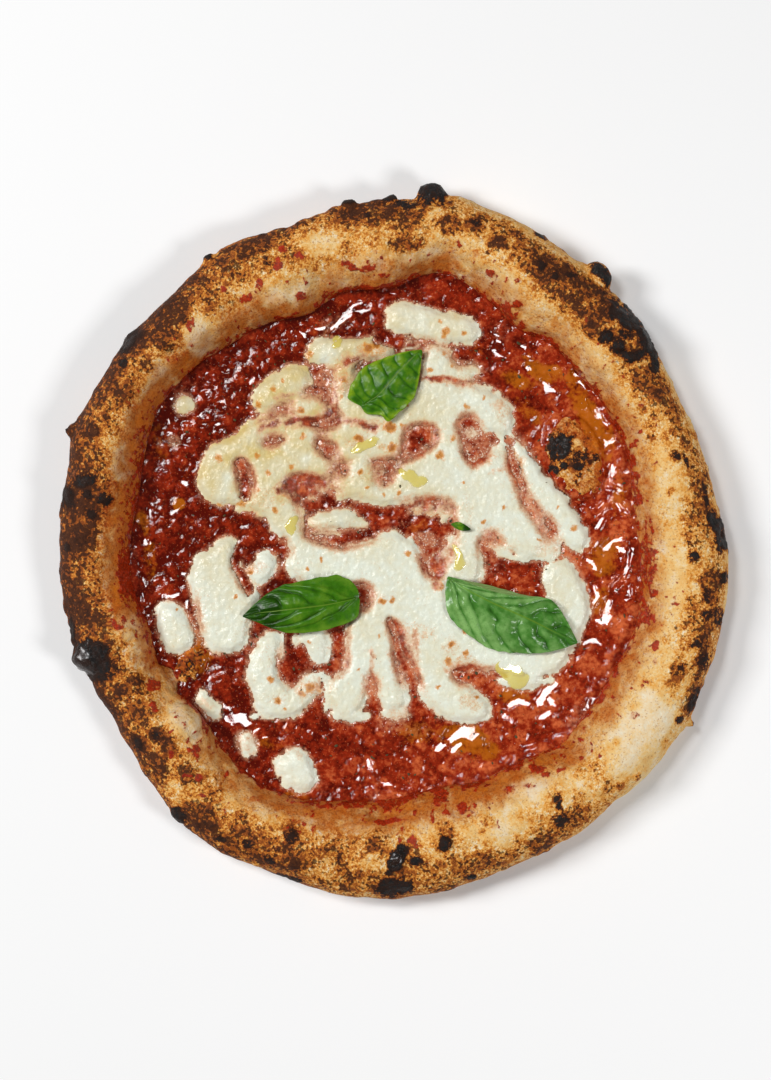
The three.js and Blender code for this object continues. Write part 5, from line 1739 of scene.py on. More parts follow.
# Toasted spots on the mozzarella: x, y and radius.
TOAST_SPOTS = [
    (24, 96, 2.2), (33, 96, 1.4), (22, 101, 0.9), (-80, 38, 1.9), (-62.5, 39, 1.2), (-46.5, 34, 1.6),
    (-55, 70, 1.5), (-62, 62.5, 1.6), (-51, 74, 1), (-38, 86, 1.7), (22, 39, 2.2), (28, 47, 1.6),
    (84, 5.5, 1.7), (76, 15, 0.9), (-42, 60.5, 1.4), (-34, 58, 1), (-36, 27, 1.4), (-37, 22, 1.2),
    (17, 79, 1.6), (28, 81, 1), (36, 73, 1), (-11, 89, 1.9), (-7, 90, 1.4), (-15, 32, 1.3), (-12, 25, 1),
    (3, 22, 1.2), (-4, 21, 1), (7, 63, 1), (34, 62, 1.5), (42, 66, 1), (-1, 52, 2.2), (5, 53, 1.6),
    (-16, 47, 2), (-41, 48, 1.1), (57, 31, 1.4), (55, 40, 1.6), (58, 36, 1), (-80, 15, 2.2), (-68, 20, 1.8),
    (-62, 23, 1.2), (-54, 14, 1.3), (-70, 17, 2), (-50, 21, 1), (-39, -13, 1), (-33, -9, 1), (-14, -23, 1),
    (0, -28, 1.4), (-5, -28, 1.6), (22, -21, 1.5), (21, -14, 1), (7, -6, 1.3), (-1, -43, 1), (-6, -44, 0.9),
    (27, -48, 1.4), (26, -56, 1.6), (34, -52, 1.6), (21, -68, 1), (39, -72, 1), (-38, -68, 1.9),
    (-42, -71, 1.3), (-34, -68, 1.2), (-56, -64, 1.6), (-53, -74, 1.6), (-50, -78, 1), (-66, -14, 1.6),
    (-72, -26, 0.8), (-91, -32, 0.7), (-100, -32, 0.6), (50, 0, 0.9), (68, 0, 0.9), (33, 27, 0.8),
    (52, 15, 1), (13, 39, 1), (-47, 20, 1.4), (-28, 24, 1), (24, 86, 0.9), (14, 86, 1), (-23, 74, 1.4),
    (-24, 66, 1), (42, 9, 1), (33, -42, 1.2), (-38, -47, 0.8), (-22, -58, 0.8), (-16, -60, 0.9),
    (-28, 33, 0.9), (0, 43, 1.6), (-57, 31, 1.8), (9, 15, 0.8),
]
# Where orange fat from the sauce tints the mozzarella, as marks.
TINTED = [
    (-9, 88, 8, 4, 0, 1), (-24, 76, 4, 7, 10, 0.9), (-18, 82, 5, 3, 0, 0.6), (-16, 46, 6, 3, 20, 0.6),
    (-2, 53, 5, 3, 0, 0.7), (0, 42, 6, 3, -10, 0.8), (-37, 24, 10, 5, -10, 0.8), (-60, 20, 12, 5, 0, 0.5),
    (-45, 60, 4, 3, 0, 0.4), (-50, 52, 8, 3, 10, 0.4), (57, 36, 3, 8, 20, 0.9), (52, 58, 3, 7, 0, 0.5),
    (44, 38, 4, 4, 0, 0.6), (7, 44, 5, 3, 0, 0.5), (22, -18, 2.5, 7, 0, 0.8), (14, 12, 10, 4, -10, 0.8),
    (-12, 30, 6, 4, 0, 0.4), (27, -50, 4, 5, 0, 0.6), (34, -56, 8, 3, -10, 0.7), (36, -74, 6, 4, 0, 0.7),
    (-38, -69, 5, 4, 0, 0.7), (12, -42, 8, 4, -10, 0.5), (0, -41, 2, 4, 0, 0.7), (64, 14, 4, 5, 30, 0.4),
    (34, 12, 3, 12, 0, 0.3), (-86, -30, 4, 5, 0, 0.2), (30, 86, 5, 4, 0, 0.5), (26, 74, 12, 2, 0, 0.6),
    (6, 60, 5, 3, 0, 0.3), (-5, -27, 6, 2, 0, 0.4), (-67, -14, 4, 4, 0, 0.5), (-57, -53, 4, 6, 0, 0.25),
    (-53, -74, 6, 4, 0, 0.3),
]
# Where the mozzarella is so thin that the sauce tints it.
THIN_PLACES = [
    (64, 44, 6, 3, -35, 0.75), (12, 17, 9, 4, -10, 0.6), (-40, 24.5, 13, 6, -5, 0.75),
    (7, -45, 5, 8, 10, 0.4), (18, 0, 6, 4, 0, 0.6), (20, -12, 4, 9, 0, 0.55), (-20, 84, 9, 3, 30, 0.6),
    (-22, 71, 4, 6, 0, 0.5), (24, 74, 12, 2, -8, 0.7), (34, 84, 6, 6, 0, 0.5), (5, -80, 8, 4, 0, 0.6),
    (32, -58, 9, 3, -15, 0.5), (4, -46, 3, 9, 15, 0.4), (12, -44, 6, 4, 0, 0.35),
    (-36, 22, 10, 3, -10, 0.65), (-49, 26, 6, 3, 0, 0.5), (50, 64, 6, 5, 30, 0.45),
    (-40, -68, 6, 6, 0, 0.45), (-58, 55, 5, 3, 0, 0.45), (-42, 54, 9, 2.4, 8, 0.7),
    (-10, 54, 6, 2.6, 0, 0.5), (56, 36, 5, 5, 0, 0.55), (-62, -12, 4, 4, 0, 0.5), (40, 40, 5, 5, 0, 0.5),
    (6, 92, 6, 3, 0, 0.6), (-44, -98, 5, 3, 0, 0.4), (-86, -76, 5, 4, 0, 0.4), (-67, -94, 4, 4, 0, 0.6),
    (52, 76, 9, 5, -20, 0.6), (-28, 60, 4, 6, 20, 0.4), (46, -28, 3, 3, 0, 0.2), (-20, -28, 6, 5, 0, 0.2),
    (4, 8, 10, 3, 5, 0.5), (-25, 6, 12, 2.5, 8, 0.3),
]
# Films of mozzarella between the pools, as marks.
FILMS = [
    (-43, 12, 2.6, 9, 12, 0.7), (-31, 3.6, 8, 1.8, 0, 0.6), (-67, 15, 6, 2.6, 0, 0.5),
    (-85, 18, 6, 1.4, 0, 0.5), (-66, 26, 3, 2.2, 0, 0.5), (-28.5, 28.5, 2.4, 5, 0, 0.7),
    (-7, 30, 4, 6, 0, 0.6), (-11, 35, 6, 1.8, 0, 0.6), (0, 17.6, 17, 1.6, 0, 0.6),
    (15, 14.5, 8, 3.5, 0, 0.45), (26, 15, 2.6, 5, 0, 0.6), (21, -11, 4, 5, 0, 0.5), (27, -3, 2.4, 7, 0, 0.6),
    (16, 1, 5, 4, 0, 0.35), (45, 2, 3.5, 4.5, 0, 0.6), (51, -5, 8, 3, -30, 0.7), (40.5, -12, 2.2, 7, 0, 0.6),
    (64, -8, 9, 2, 0, 0.8), (74, -3, 4.5, 6, 0, 0.8), (63, 18, 2, 6, 30, 0.6), (68, 10, 2, 7, 28, 0.7),
    (11, -60, 1.6, 8, 18, 0.6), (15, -72, 2.2, 7, 25, 0.8), (2, -52, 1.2, 8, 12, 0.5),
    (6, -70, 2, 8, 5, 0.7), (4, -79, 6, 2, 0, 0.5), (-33, -63, 5, 2, 0, 0.8), (-30, -69, 1.6, 6, 0, 0.6),
    (-44.5, -45, 2.4, 4, 0, 0.5), (-51.5, -50, 1.4, 8, 0, 0.5), (-67.5, -43, 2, 5, 0, 0.6),
    (-47, -13, 2.4, 5, 20, 0.7), (-9, -26, 2.4, 5, 0, 0.8), (57, -64, 8, 4, 10, 0.9),
    (-53, -105, 2.2, 5, 0, 0.6), (-46, -112, 5, 4, -20, 0.8), (6, 90, 7, 2.6, 5, 0.55),
    (25, 87, 3.6, 3.6, 0, 0.6), (13.5, 76, 1.8, 9, 5, 0.9), (49, 67, 3, 2.6, -30, 0.6),
    (38, 95, 2.4, 5, -20, 0.8), (5.5, 44.5, 2.2, 2.4, 0, 0.6), (19.6, 48, 1.4, 5, 0, 0.6),
    (-38, 62, 11, 6, 0, 0.6), (-58, 59.5, 6, 1.6, 0, 0.6), (-36, 45, 1.6, 2.4, 0, 0.6),
    (-34, 52.5, 9, 1.4, 0, 0.5), (33, 38, 2, 4, 0, 0.4), (24, 104.5, 14, 1.6, -8, 0.7),
    (-30, -50, 2, 8, 0, 0.6), (3, 27, 5, 2, 0, 0.6), (-62, -20, 5, 1.2, 10, 0.5),
    (-40, 24.5, 12, 5.5, -5, 0.5), (0, 19, 17, 2.4, 0, 0.6), (24, 13, 4, 6, 0, 0.6), (24, -9, 3, 8, 0, 0.6),
    (2, -80, 7, 3, 0, 0.7), (-20, -81, 9, 3, 0, 0.8), (-30.5, -71, 1.8, 9, 0, 0.7), (6, -46, 4, 7, 0, 0.4),
    (63, -66, 12, 3, 5, 0.8), (-57, -81, 9, 2, 0, 0.6), (34, -82, 10, 2.4, 0, 0.6), (-26, 31, 3, 6, 0, 0.6),
    (28, 72, 12, 2, -4, 0.7), (-14.5, 32, 6, 8, 0, 1), (-38, 61, 10, 6, 0, 1), (-25, 67, 4, 10, 0, 0.8),
    (7.5, -46, 5, 9, 10, 0.9), (-23, 24, 4, 6, 0, 0.9), (36, 49, 4, 3, 0, 0.5),
]
# Lines along which the mozzarella parts: half width, then places.
GAPS = [
    (2.2, [(-41, 95), (-30, 96.5), (-12, 96)]), (2.6, [(-6, 94), (2, 91)]),
    (1.8, [(-70, 36), (-69, 28), (-68, 20)]), (1.6, [(-71, -2), (-72.5, -12), (-66, -23)]),
    (1.2, [(53, 47), (56, 37), (60, 26)]), (2.4, [(65, 42.5), (73.5, 32.5), (83.5, 21.5), (90, 9)]),
    (0.8, [(-1, -37), (2, -46), (6, -60)]), (1.6, [(30, -61.5), (36, -64.5), (42, -68)]),
]
# Lines along which sauce has seeped over the mozzarella: half width, strength, then places.
VEILS = [
    (1.3, 1.0, [(-62, 50.5), (-52, 54.5), (-40, 56.5), (-28, 56), (-16, 54.5), (-8, 51)]),
    (1.0, 0.7, [(-58, 45), (-50, 48.5)]), (1.2, 0.9, [(-53, 23), (-46, 27), (-38, 29)]),
    (0.8, 0.8, [(-54, 66), (-44, 68.5), (-36, 70)]),
    (1.0, 0.9, [(-28, 74), (-26, 66), (-24, 60), (-22, 56)]), (0.9, 0.8, [(-26, 34), (-23, 36), (-20, 37)]),
    (0.6, 0.6, [(-8, 37), (0, 38), (6, 40)]), (0.7, 0.8, [(14, 75), (26, 75), (38, 73), (46, 76)]),
    (0.9, 0.9, [(5, 90), (12, 91), (24, 90)]), (0.8, 0.8, [(-10, -50), (-9, -62)]),
    (0.8, 0.6, [(11, -42), (12, -54), (11, -60)]), (1.0, 0.8, [(24, -60), (30, -60), (40, -58)]),
    (1.2, 0.7, [(22, -2), (21, -12), (20, -22)]), (1.4, 0.6, [(12, 18), (20, 12), (24, 4)]),
    (1.0, 0.6, [(60, 50), (64, 44), (68, 38)]), (0.9, 0.6, [(-34, -64), (-33, -72)]),
    (1.6, 0.6, [(-21, 82), (-14, 84), (-6, 84)]), (1.0, 0.6, [(-46, 64), (-48, 60), (-46, 56)]),
    (0.8, 0.6, [(44, 31), (50, 33), (56, 34)]),
]


@dataclass
class Mozzarella:
    """Mozzarella that melted into pools: a class for all of them, since each is cut from one surface."""

    lattice: Lattice
    names: Sequence[str]
    blur: float = 2.8  # in cells, before the outline is roughened
    reach: float = 9.0  # in cells, how a film between pools finds its pool
    depth: float = 2.2
    outline: float = 0.24  # share at which a pool ends

    def spread(self) -> None:
        """Works out how much mozzarella lies at each point, whose it is, and the sauce that veils it."""
        plan = self.lattice.plan
        wx = grained(plan[0], plan, (1.5, 7.0, 71), (0.9, 3.0, 72), (0.5, 1.4, 75))
        wy = grained(plan[1], plan, (1.5, 7.0, 73), (0.9, 3.0, 74), (0.5, 1.4, 76))
        near, share = [], np.zeros(wx.shape)
        for name in self.names:
            there = (self.lattice.sampled(Solid(name), 2) > CHEESE_SINK).astype(float)
            near.append(softened(there, self.reach))
            share = np.maximum(share, self.lattice.at(softened(there, self.blur), (wx, wy)))
        self.owner = np.argmax(near, axis=0)
        share = np.maximum(share, marked(FILMS, (wx, wy), 0.2 * layered(plan, 4, 84)))
        for half_width, line in GAPS:
            share = share * (1 - smooth(stroke(line, (wx, wy)) - half_width, 1.2, -0.2))
        band = 4 * share * (1 - share)
        self.share = np.clip(share + band * grained(0, plan, (0.3, 3.2, 85), (0.15, 1.5, 86)), 0, 1)
        self.veil = np.zeros(wx.shape)
        for half_width, strength, line in VEILS:
            away = stroke(line, (wx, wy)) / half_width
            self.veil = np.maximum(self.veil, strength * smooth(away, 3.6, 0.0) ** 1.7)
        self.veil *= grained(0.9, plan, (0.4, 6, 100))

    def surface(self) -> None:
        """Works out the top of all the pools."""
        self.spread()
        plan = self.lattice.plan
        wide = softened(self.share * (1 - 0.3 * self.veil), 4.6)
        full = smooth(wide, self.outline, 0.98) * (0.15 + 0.85 * smooth(softened(self.share, 1.8), 0.3, 0.98))
        swell = grained(1, plan, (0.16, 17, 77), (0.1, 7, 78))
        crumple = grained(0, plan, (0.16, 3.4, 79), (0.16, 1.7, 80))
        self.thin = np.clip(marked(THIN_PLACES, plan, 0.35 * layered(plan, 5, 81), 0.6), 0, 1)
        height = (self.depth * swell + crumple) * full * (1 - 0.35 * self.thin)
        dive = 0.35 * smooth(self.share, self.outline + 0.35, self.outline)
        self.top = BOARD_TO_SAUCE + 0.2 + height + 0.5 * crumple - dive

    def colours(self) -> dict[str, Array]:
        """Works out the values that the mozzarella's colours need.

        Returns:
            How thin, toasted and yellow it is at each lattice point.
        """
        plan = x, y = self.lattice.plan
        wx = grained(x, plan, (1.3, 3.4, 87), (0.5, 1.5, 97))
        wy = grained(y, plan, (1.3, 3.4, 88), (0.5, 1.5, 98))
        toast = np.zeros(x.shape)
        for cx, cy, size in TOAST_SPOTS:
            toast = np.maximum(toast, smooth(np.hypot(wx - cx, wy - cy) / size, 1.6, 0.2))
        toast = toast + 0.5 * marked(TINTED, (wx, wy), 0.5 * layered(plan, 4, 89))
        inner = smooth(softened(self.share, 18), 0.5, 0.72)
        spread = np.clip(grained(0.3, plan, (0.5, 16, 90)) + 0.6 * inner, 0, 1)
        fringe = smooth(softened(self.share, 1.2), 0.62 + 0.36 * spread, 0.22) * (0.35 + 0.6 * spread)
        fringe = np.maximum(fringe, 0.75 * inner * smooth(softened(self.share, 5), 0.97, 0.6))
        thin = np.maximum(fringe, 0.8 * self.veil) + self.thin * grained(0.6, plan, (0.5, 4, 82))
        thin = np.clip(thin, 0, 1)
        yellow = 0.62 * smooth(y, -20, 40) * smooth(x, 70, -60) * grained(1, plan, (0.8, 9, 99))
        yellow = np.clip(grained(0.12 + yellow, plan, (0.25, 22, 83)) + 0.25 * thin, 0, 1)
        return {"thin": thin, "toast": toast, "yellow": yellow}

    def build(self, finish: Material, under: dict) -> None:
        """Makes a piece for each pool.

        Args:
            finish: The mozzarella's material.
            under: The sauce's own values at each lattice point, for where the mozzarella is thin.
        """
        fields = self.colours() | under
        whole = cells_in(self.share > self.outline)
        for number, name in enumerate(self.names):
            title = name.replace("mozzarella", "melted_mozzarella")
            cells = whole & (self.owner[:-1, :-1] == number)
            heights = (CHEESE_SINK, self.top)
            layer(title, self.lattice, cells, heights, finish, [name], fields)


# ---------------------------------------------------------------- the oil

# Lines along which the oil shines: half width, then places.
GLINTS = [
    (2.2, [(51.5, -58), (55, -58.5), (59, -60)]), (0.6, [(-21, 39), (-15, 42)]),
    (0.7, [(-101, -46), (-102, -50)]), (0.7, [(-98, -47), (-97, -50)]), (1.0, [(29.5, 4), (31, 1)]),
    (0.6, [(-40, -51), (-34, -52)]), (0.5, [(-26, 93), (-22, 95)]), (0.5, [(5, 35), (9, 38)]),
]


@dataclass
class Oil:
    """Pools of olive oil that lie on the mozzarella."""

    lattice: Lattice
    names: Sequence[str]
    shine: Callable  # gives the slope at which it shines at a place
    depth: float = 0.75
    outline: float = 0.3

    def build(self, finish: Material, ground: Array) -> None:
        """Makes a piece for each pool.

        Args:
            finish: The oil's material.
            ground: Height of what the oil lies on, at each lattice point.
        """
        plan, eased = self.lattice.plan, softened(ground, 3.0)
        wx = grained(plan[0], plan, (1.5, 4.4, 91), (0.5, 1.8, 93))
        wy = grained(plan[1], plan, (1.5, 4.4, 92), (0.5, 1.8, 94))
        glint, lean = leaning(GLINTS, plan, 0.35 * noise(plan, 2.6, 96), self.shine)
        for name in self.names:
            there = (self.lattice.sampled(Solid(name), 1) > 0).astype(float)
            share = self.lattice.at(softened(there, 1.8), (wx, wy))
            full = smooth(share, self.outline, 1.0) ** 0.6
            top = eased + self.depth * full - 0.25
            lit = (glint > 0.5) & (share > self.outline)
            if lit.any():
                top = top * (1 - glint) + (float(np.quantile(ground[lit], 0.8)) + 0.45 + lean) * glint
            mine = (share > self.outline) & (top > ground - 0.3)
            title = name.replace("olive_oil", "oil_pool")
            heights = (float(ground[mine].min()) - 0.4, top)
            fields = {"deep": smooth(share, self.outline, 0.95)}
            layer(title, self.lattice, cells_in(mine), heights, finish, [name], fields)


# ---------------------------------------------------------------- the basil


def curve(points: Sequence[tuple], share: Array) -> Array:
    """A smooth line through several places, at shares of its way.

    Args:
        points: The places in plan.
        share: From 0 at the first to 1 at the last.

    Returns:
        The places there, as X and Y in the last axis.
    """
    line = np.array([points[0], *points, points[-1]], float)
    at = np.clip(share, 0, 1) * (len(points) - 1)
    i = np.minimum(at.astype(int), len(points) - 2)
    t = (at - i)[..., None]
    a, b, c, d = (line[i + k] for k in range(4))
    return b + 0.5 * t * (c - a + t * (2 * a - 5 * b + 4 * c - d + t * (3 * (b - c) + d - a)))


@dataclass
class BasilLeaf:
    """A basil leaf: two quilted halves along a midrib, with veins that run forward from it."""

    name: str
    midrib: Sequence[tuple]
    left: Sequence[tuple]
    right: Sequence[tuple]
    arch: float
    droop: float
    veins: int = 6
    forward: float = 0.34  # how far a side vein runs along the leaf on its way to the margin
    quilt: float = 0.7
    steps: int = 150
    strips: int = 92
    thickness: float = 0.5
    tone: float = 0.5
    tip_tone: float = 0.5
    margin_tone: float = 0.2
    folded: tuple[float, float] | None = None  # stretch of the left margin that shows the leaf's back
    ridge: float = 0.0  # how far the midrib stands up, rather than lying in a groove
    crumple: float = 0.34
    seed: int = 1

    def plan(self, u: Array, v: Array) -> tuple[Array, Array]:
        """Where the leaf's points lie in plan.

        Args:
            u: How far along the leaf each point is, from 0 at the stalk to 1 at the tip.
            v: How far out it is, from -1 at the right margin over 0 at the midrib to 1 at the left one.

        Returns:
            The points' X and Y.
        """
        away, middle = np.abs(v), curve(self.midrib, u)
        side = np.where((v < 0)[..., None], curve(self.right, u), curve(self.left, u))
        ragged = 1 + 0.035 * noise((side[..., 0], side[..., 1]), 4.0, 130 + self.seed) * away**3
        plan = middle + (side - middle) * (away * ragged)[..., None]
        return plan[..., 0], plan[..., 1]

    def fold(self, u: Array, v: Array) -> Array:
        """Where the left margin is folded over.

        Args:
            u: How far along the leaf each point is.
            v: How far out it is, as in plan.

        Returns:
            The share at each point, from 0 to 1.
        """
        if not self.folded:
            return np.zeros(u.shape)
        low, high = self.folded
        crease = 0.62 + 0.3 * smooth(u, 0.35, high) + 0.25 * smooth(u, 0.25, low)
        return smooth(v - crease, 0.0, 0.05) * smooth(u, low, low + 0.05) * smooth(u, high, high - 0.05)

    def build(self, finish: Material) -> None:
        """Makes the leaf's piece.

        Args:
            finish: The leaf's material.
        """
        u = np.linspace(0, 1, self.steps)[:, None] + np.zeros(self.strips)
        v = np.linspace(-1, 1, self.strips)[None] + np.zeros((self.steps, 1))
        (x, y), away, span = self.plan(u, v), np.abs(v), np.sin(math.pi * np.clip(u, 0, 1))
        wave = 0.1 * self.arch * np.sin(4 * math.pi * u + 2.4 * away) * away * span
        z = LEAF_FLOOR + self.arch * span - self.droop * away**1.6 * span + wave
        start = (u - self.forward * away**1.25) / (1 - self.forward * away**1.25)
        order = start * self.veins + np.where(v < 0, 0.5, 0.0) + 0.26 * noise((x, y), 8, 120 + self.seed)
        between = np.abs((order % 1) - 0.5) * 2  # 1 on a vein, 0 midway
        live = smooth(away, 0.02, 0.2) * smooth(span, 0.02, 0.3) * smooth(start, -0.1, 0.02)
        z = z + self.quilt * (1 - between**3.2) * live * (1 - 0.45 * away)
        cross = np.abs(np.mod(away * 7 + 0.3 * np.sin(order * 6), 1) - 0.5) * 2
        z = z - 0.12 * self.quilt * cross**4 * live * (1 - between)
        z = z + (self.ridge - 0.25) * np.exp(-((away / 0.035) ** 2)) * span
        z = z + self.crumple * noise((x, y, z), 5.0, 101 + self.seed) * smooth(away, 0.0, 0.4)
        z = grained(z, (x, y, z), (0.08, 1.8, 111))
        z = z - 0.1 * smooth(between, 0.85, 0.99) * live
        vein = np.exp(-((away / 0.022) ** 2)) * smooth(u, 0.99, 0.8)
        tone = self.tone + (self.tip_tone - self.tone) * smooth(u, 0.55, 0.75)
        tone = tone + self.margin_tone * smooth(away, 0.72, 0.98) * grained(1, (x, y, z), (0.6, 9, 121))
        # Painted light and shade: the puffed cells between the veins are lighter and the creases along the
        # veins darker, as the quilting is lit.
        tone = tone + live * (0.1 - 0.2 * between**3 - 0.14 * smooth(between, 0.88, 0.99)) - 0.2 * vein
        tone = grained(tone, (x, y, z), (0.2, 6, 122), (0.1, 2.2, 123))
        back = self.fold(u, v)
        fields = {"tone": tone, "vein": vein, "back": back}
        self.closed((x, y, z + 0.9 * back), fields, finish)

    def closed(self, at: Places, fields: dict, finish: Material) -> None:
        """Gives the leaf its thickness, and makes the piece.

        Args:
            at: The points of its middle surface.
            fields: The material's values at those points.
            finish: The leaf's material.
        """
        x, y, z = at
        top, low = (np.stack([x, y, z + way * self.thickness / 2], 2).reshape(-1, 3) for way in (1, -1))
        number = np.arange(x.size).reshape(x.shape)
        ring = np.concatenate([number[0, :-1], number[:-1, -1], number[-1, :0:-1], number[:0:-1, 0]])
        corners = [number[:-1, :-1], number[1:, :-1], number[1:, 1:], number[:-1, 1:]]
        quads = np.stack(corners, 2).reshape(-1, 4)
        faces = quads[:, ::-1].tolist() + (quads + x.size).tolist()
        following = np.roll(ring, -1)
        faces += np.stack([ring, ring + x.size, following + x.size, following], 1).tolist()
        made = {title: np.tile(values.ravel(), 2) for title, values in fields.items()}
        title = self.name.replace("basil_", "fresh_basil_")
        piece(title, np.concatenate([top, low]), faces, finish, [self.name], made)


BASIL = [
    BasilLeaf(
        "basil_leaf_top",
        [(-14.4, 61.7), (-10, 64.6), (-6, 67.4), (-2, 71.9), (2, 76.6), (6, 80.8), (10, 84.8), (13.5, 87.6)],
        [
            (-14.9, 62.1), (-19.6, 64.6), (-20.4, 67.4), (-18, 73.5), (-12.5, 80.2), (-4, 84), (5, 86.8),
            (13.3, 88),
        ],
        [
            (-14.2, 61), (-11.5, 58.2), (-5.8, 57.8), (-1.6, 55), (5, 60.6), (10.2, 66.8), (12.6, 77),
            (13.8, 87.2),
        ],
        arch=2.4, droop=1.8, veins=6, forward=0.42, quilt=0.46, crumple=0.7, tone=0.42, tip_tone=0.46,
        margin_tone=0.33, seed=1,
    ),
    BasilLeaf(
        "basil_leaf_left",
        [
            (-15.5, -26.2), (-24, -28.3), (-32, -29.8), (-40, -30.8), (-48, -31.7), (-54, -32.5),
            (-61, -33.3), (-69, -34.9),
        ],
        [
            (-15, -27.2), (-16.5, -35.5), (-26, -39.8), (-37, -42.2), (-48, -42.4), (-56, -40.3),
            (-62.5, -37.6), (-68.9, -35.2),
        ],
        [
            (-15.2, -25.2), (-17.5, -20.2), (-24, -16.2), (-33, -16.8), (-43, -18.8), (-52, -21.2),
            (-60, -26.2), (-68.9, -34.5),
        ],
        arch=4.0, droop=3.0, veins=4, forward=0.68, quilt=0.95, tone=0.45, tip_tone=0.08, seed=2,
    ),
    BasilLeaf(
        "basil_leaf_right",
        [(25.4, -16.8), (30, -20), (38, -24.5), (47, -29), (56, -33), (65, -37.2), (75, -42.3), (85.2, -47)],
        [
            (25.8, -16.5), (33, -18.2), (42, -20), (52, -22.6), (62, -25.4), (73.5, -27.6), (80, -36.5),
            (85.2, -46.5),
        ],
        [
            (25.2, -17.2), (24.3, -25.5), (26.5, -35.5), (35, -43.5), (46, -50), (60, -52), (73, -51.2),
            (85, -47.4),
        ],
        arch=4.4, droop=3.4, veins=6, forward=0.44, quilt=1.4, tone=0.58, tip_tone=0.4, margin_tone=0.12,
        folded=(0.08, 0.62), ridge=0.6, crumple=0.7, seed=3,
    ),
    BasilLeaf(
        "basil_scrap",
        [(27, 7.6), (30, 6.8), (33, 5.9), (36, 5)],
        [(27.2, 7.9), (30.2, 8.6), (33.3, 7.4), (36.1, 5.3)],
        [(26.9, 7.3), (29.6, 5.3), (32.6, 4.4), (35.9, 4.7)],
        arch=0.8, droop=0.3, veins=2, forward=0.3, quilt=0.15, steps=40, strips=24, tone=0.5, tip_tone=0.0,
        margin_tone=0.0, seed=4,
    ),
]
LEAF_FINISHES = {
    "basil_leaf_top": LeafFinish("basil_broad"),
    "basil_leaf_left": LeafFinish("basil_narrow", light=linear(104, 144, 36), roughness=0.25),
    "basil_leaf_right": LeafFinish(
        "basil_long", dark=linear(30, 76, 14), green=linear(70, 126, 46), light=linear(136, 182, 104),
        roughness=0.18,
    ),
    "basil_scrap": LeafFinish("basil_torn"),
}


# ---------------------------------------------------------------- herbs


@dataclass
class Herbs:
    """Flecks of dried herb scattered over the sauce."""

    lattice: Lattice
    count: int = 260
    scatter: float = 112.0  # half side of the square that they are drawn in
    radius: float = 113.0  # those outside it are left out
    left_out: float = 0.96  # share of those that fall on mozzarella
    lift: float = 0.12  # of a fleck's middle above what it lies on
    thickness: float = 0.2  # at a fleck's edge
    seed: int = 23

    def build(self, finish: Material, ground: Array, cheese: Array) -> None:
        """Makes one piece of all the flecks.

        Args:
            finish: Their material.
            ground: Height of what they lie on, at each lattice point.
            cheese: How much mozzarella lies over each lattice point.
        """
        draw = np.random.default_rng(self.seed)
        outline = [(1, 0, 0), (0.4, 0.8, 0.1), (-0.5, 0.7, 0)]
        outline += [(-1, 0, 0.1), (-0.4, -0.8, 0), (0.6, -0.7, 0.1)]
        sides, hub = len(outline), np.array([0, 0, 0.16])
        corners = 2 * (sides + 1)
        points, faces = [], []
        while len(points) < self.count * corners:
            place = draw.uniform(-self.scatter, self.scatter, 2)
            size, shape = 0.35 + 0.75 * draw.random() ** 2, draw.uniform(0.35, 0.8)
            turn, lean = draw.uniform(0, 2 * math.pi), draw.uniform(-0.25, 0.25, 2)
            rough = 1 + draw.uniform(-0.25, 0.25, sides)
            there = place[:, None]
            if np.hypot(*place) > self.radius:
                continue
            if self.lattice.at(cheese, there)[0] > 0.4 and draw.random() < self.left_out:
                continue
            x, y, z = (np.array(outline) * rough[:, None] * (size, size * shape, 0.3)).T
            cosine, sine = math.cos(turn), math.sin(turn)
            ring = np.stack([cosine * x - sine * y, sine * x + cosine * y, z], 1)
            ring[:, 2] += ring[:, :2] @ lean
            height = float(self.lattice.at(ground, there)[0]) + self.lift
            base = len(points)
            drop = np.array([0, 0, self.thickness])
            both = np.concatenate([ring, [hub], ring - drop, [hub - 2 * drop]])
            points += (both + (*place, height)).tolist()
            top, low, beneath = base + sides, base + corners - 1, sides + 1
            for k in range(sides):
                a, b = base + k, base + (k + 1) % sides
                faces += [[a, b, top], [b + beneath, a + beneath, low], [a, a + beneath, b + beneath, b]]
        piece("herb_flecks", np.array(points), faces, finish)


# ---------------------------------------------------------------- the studio


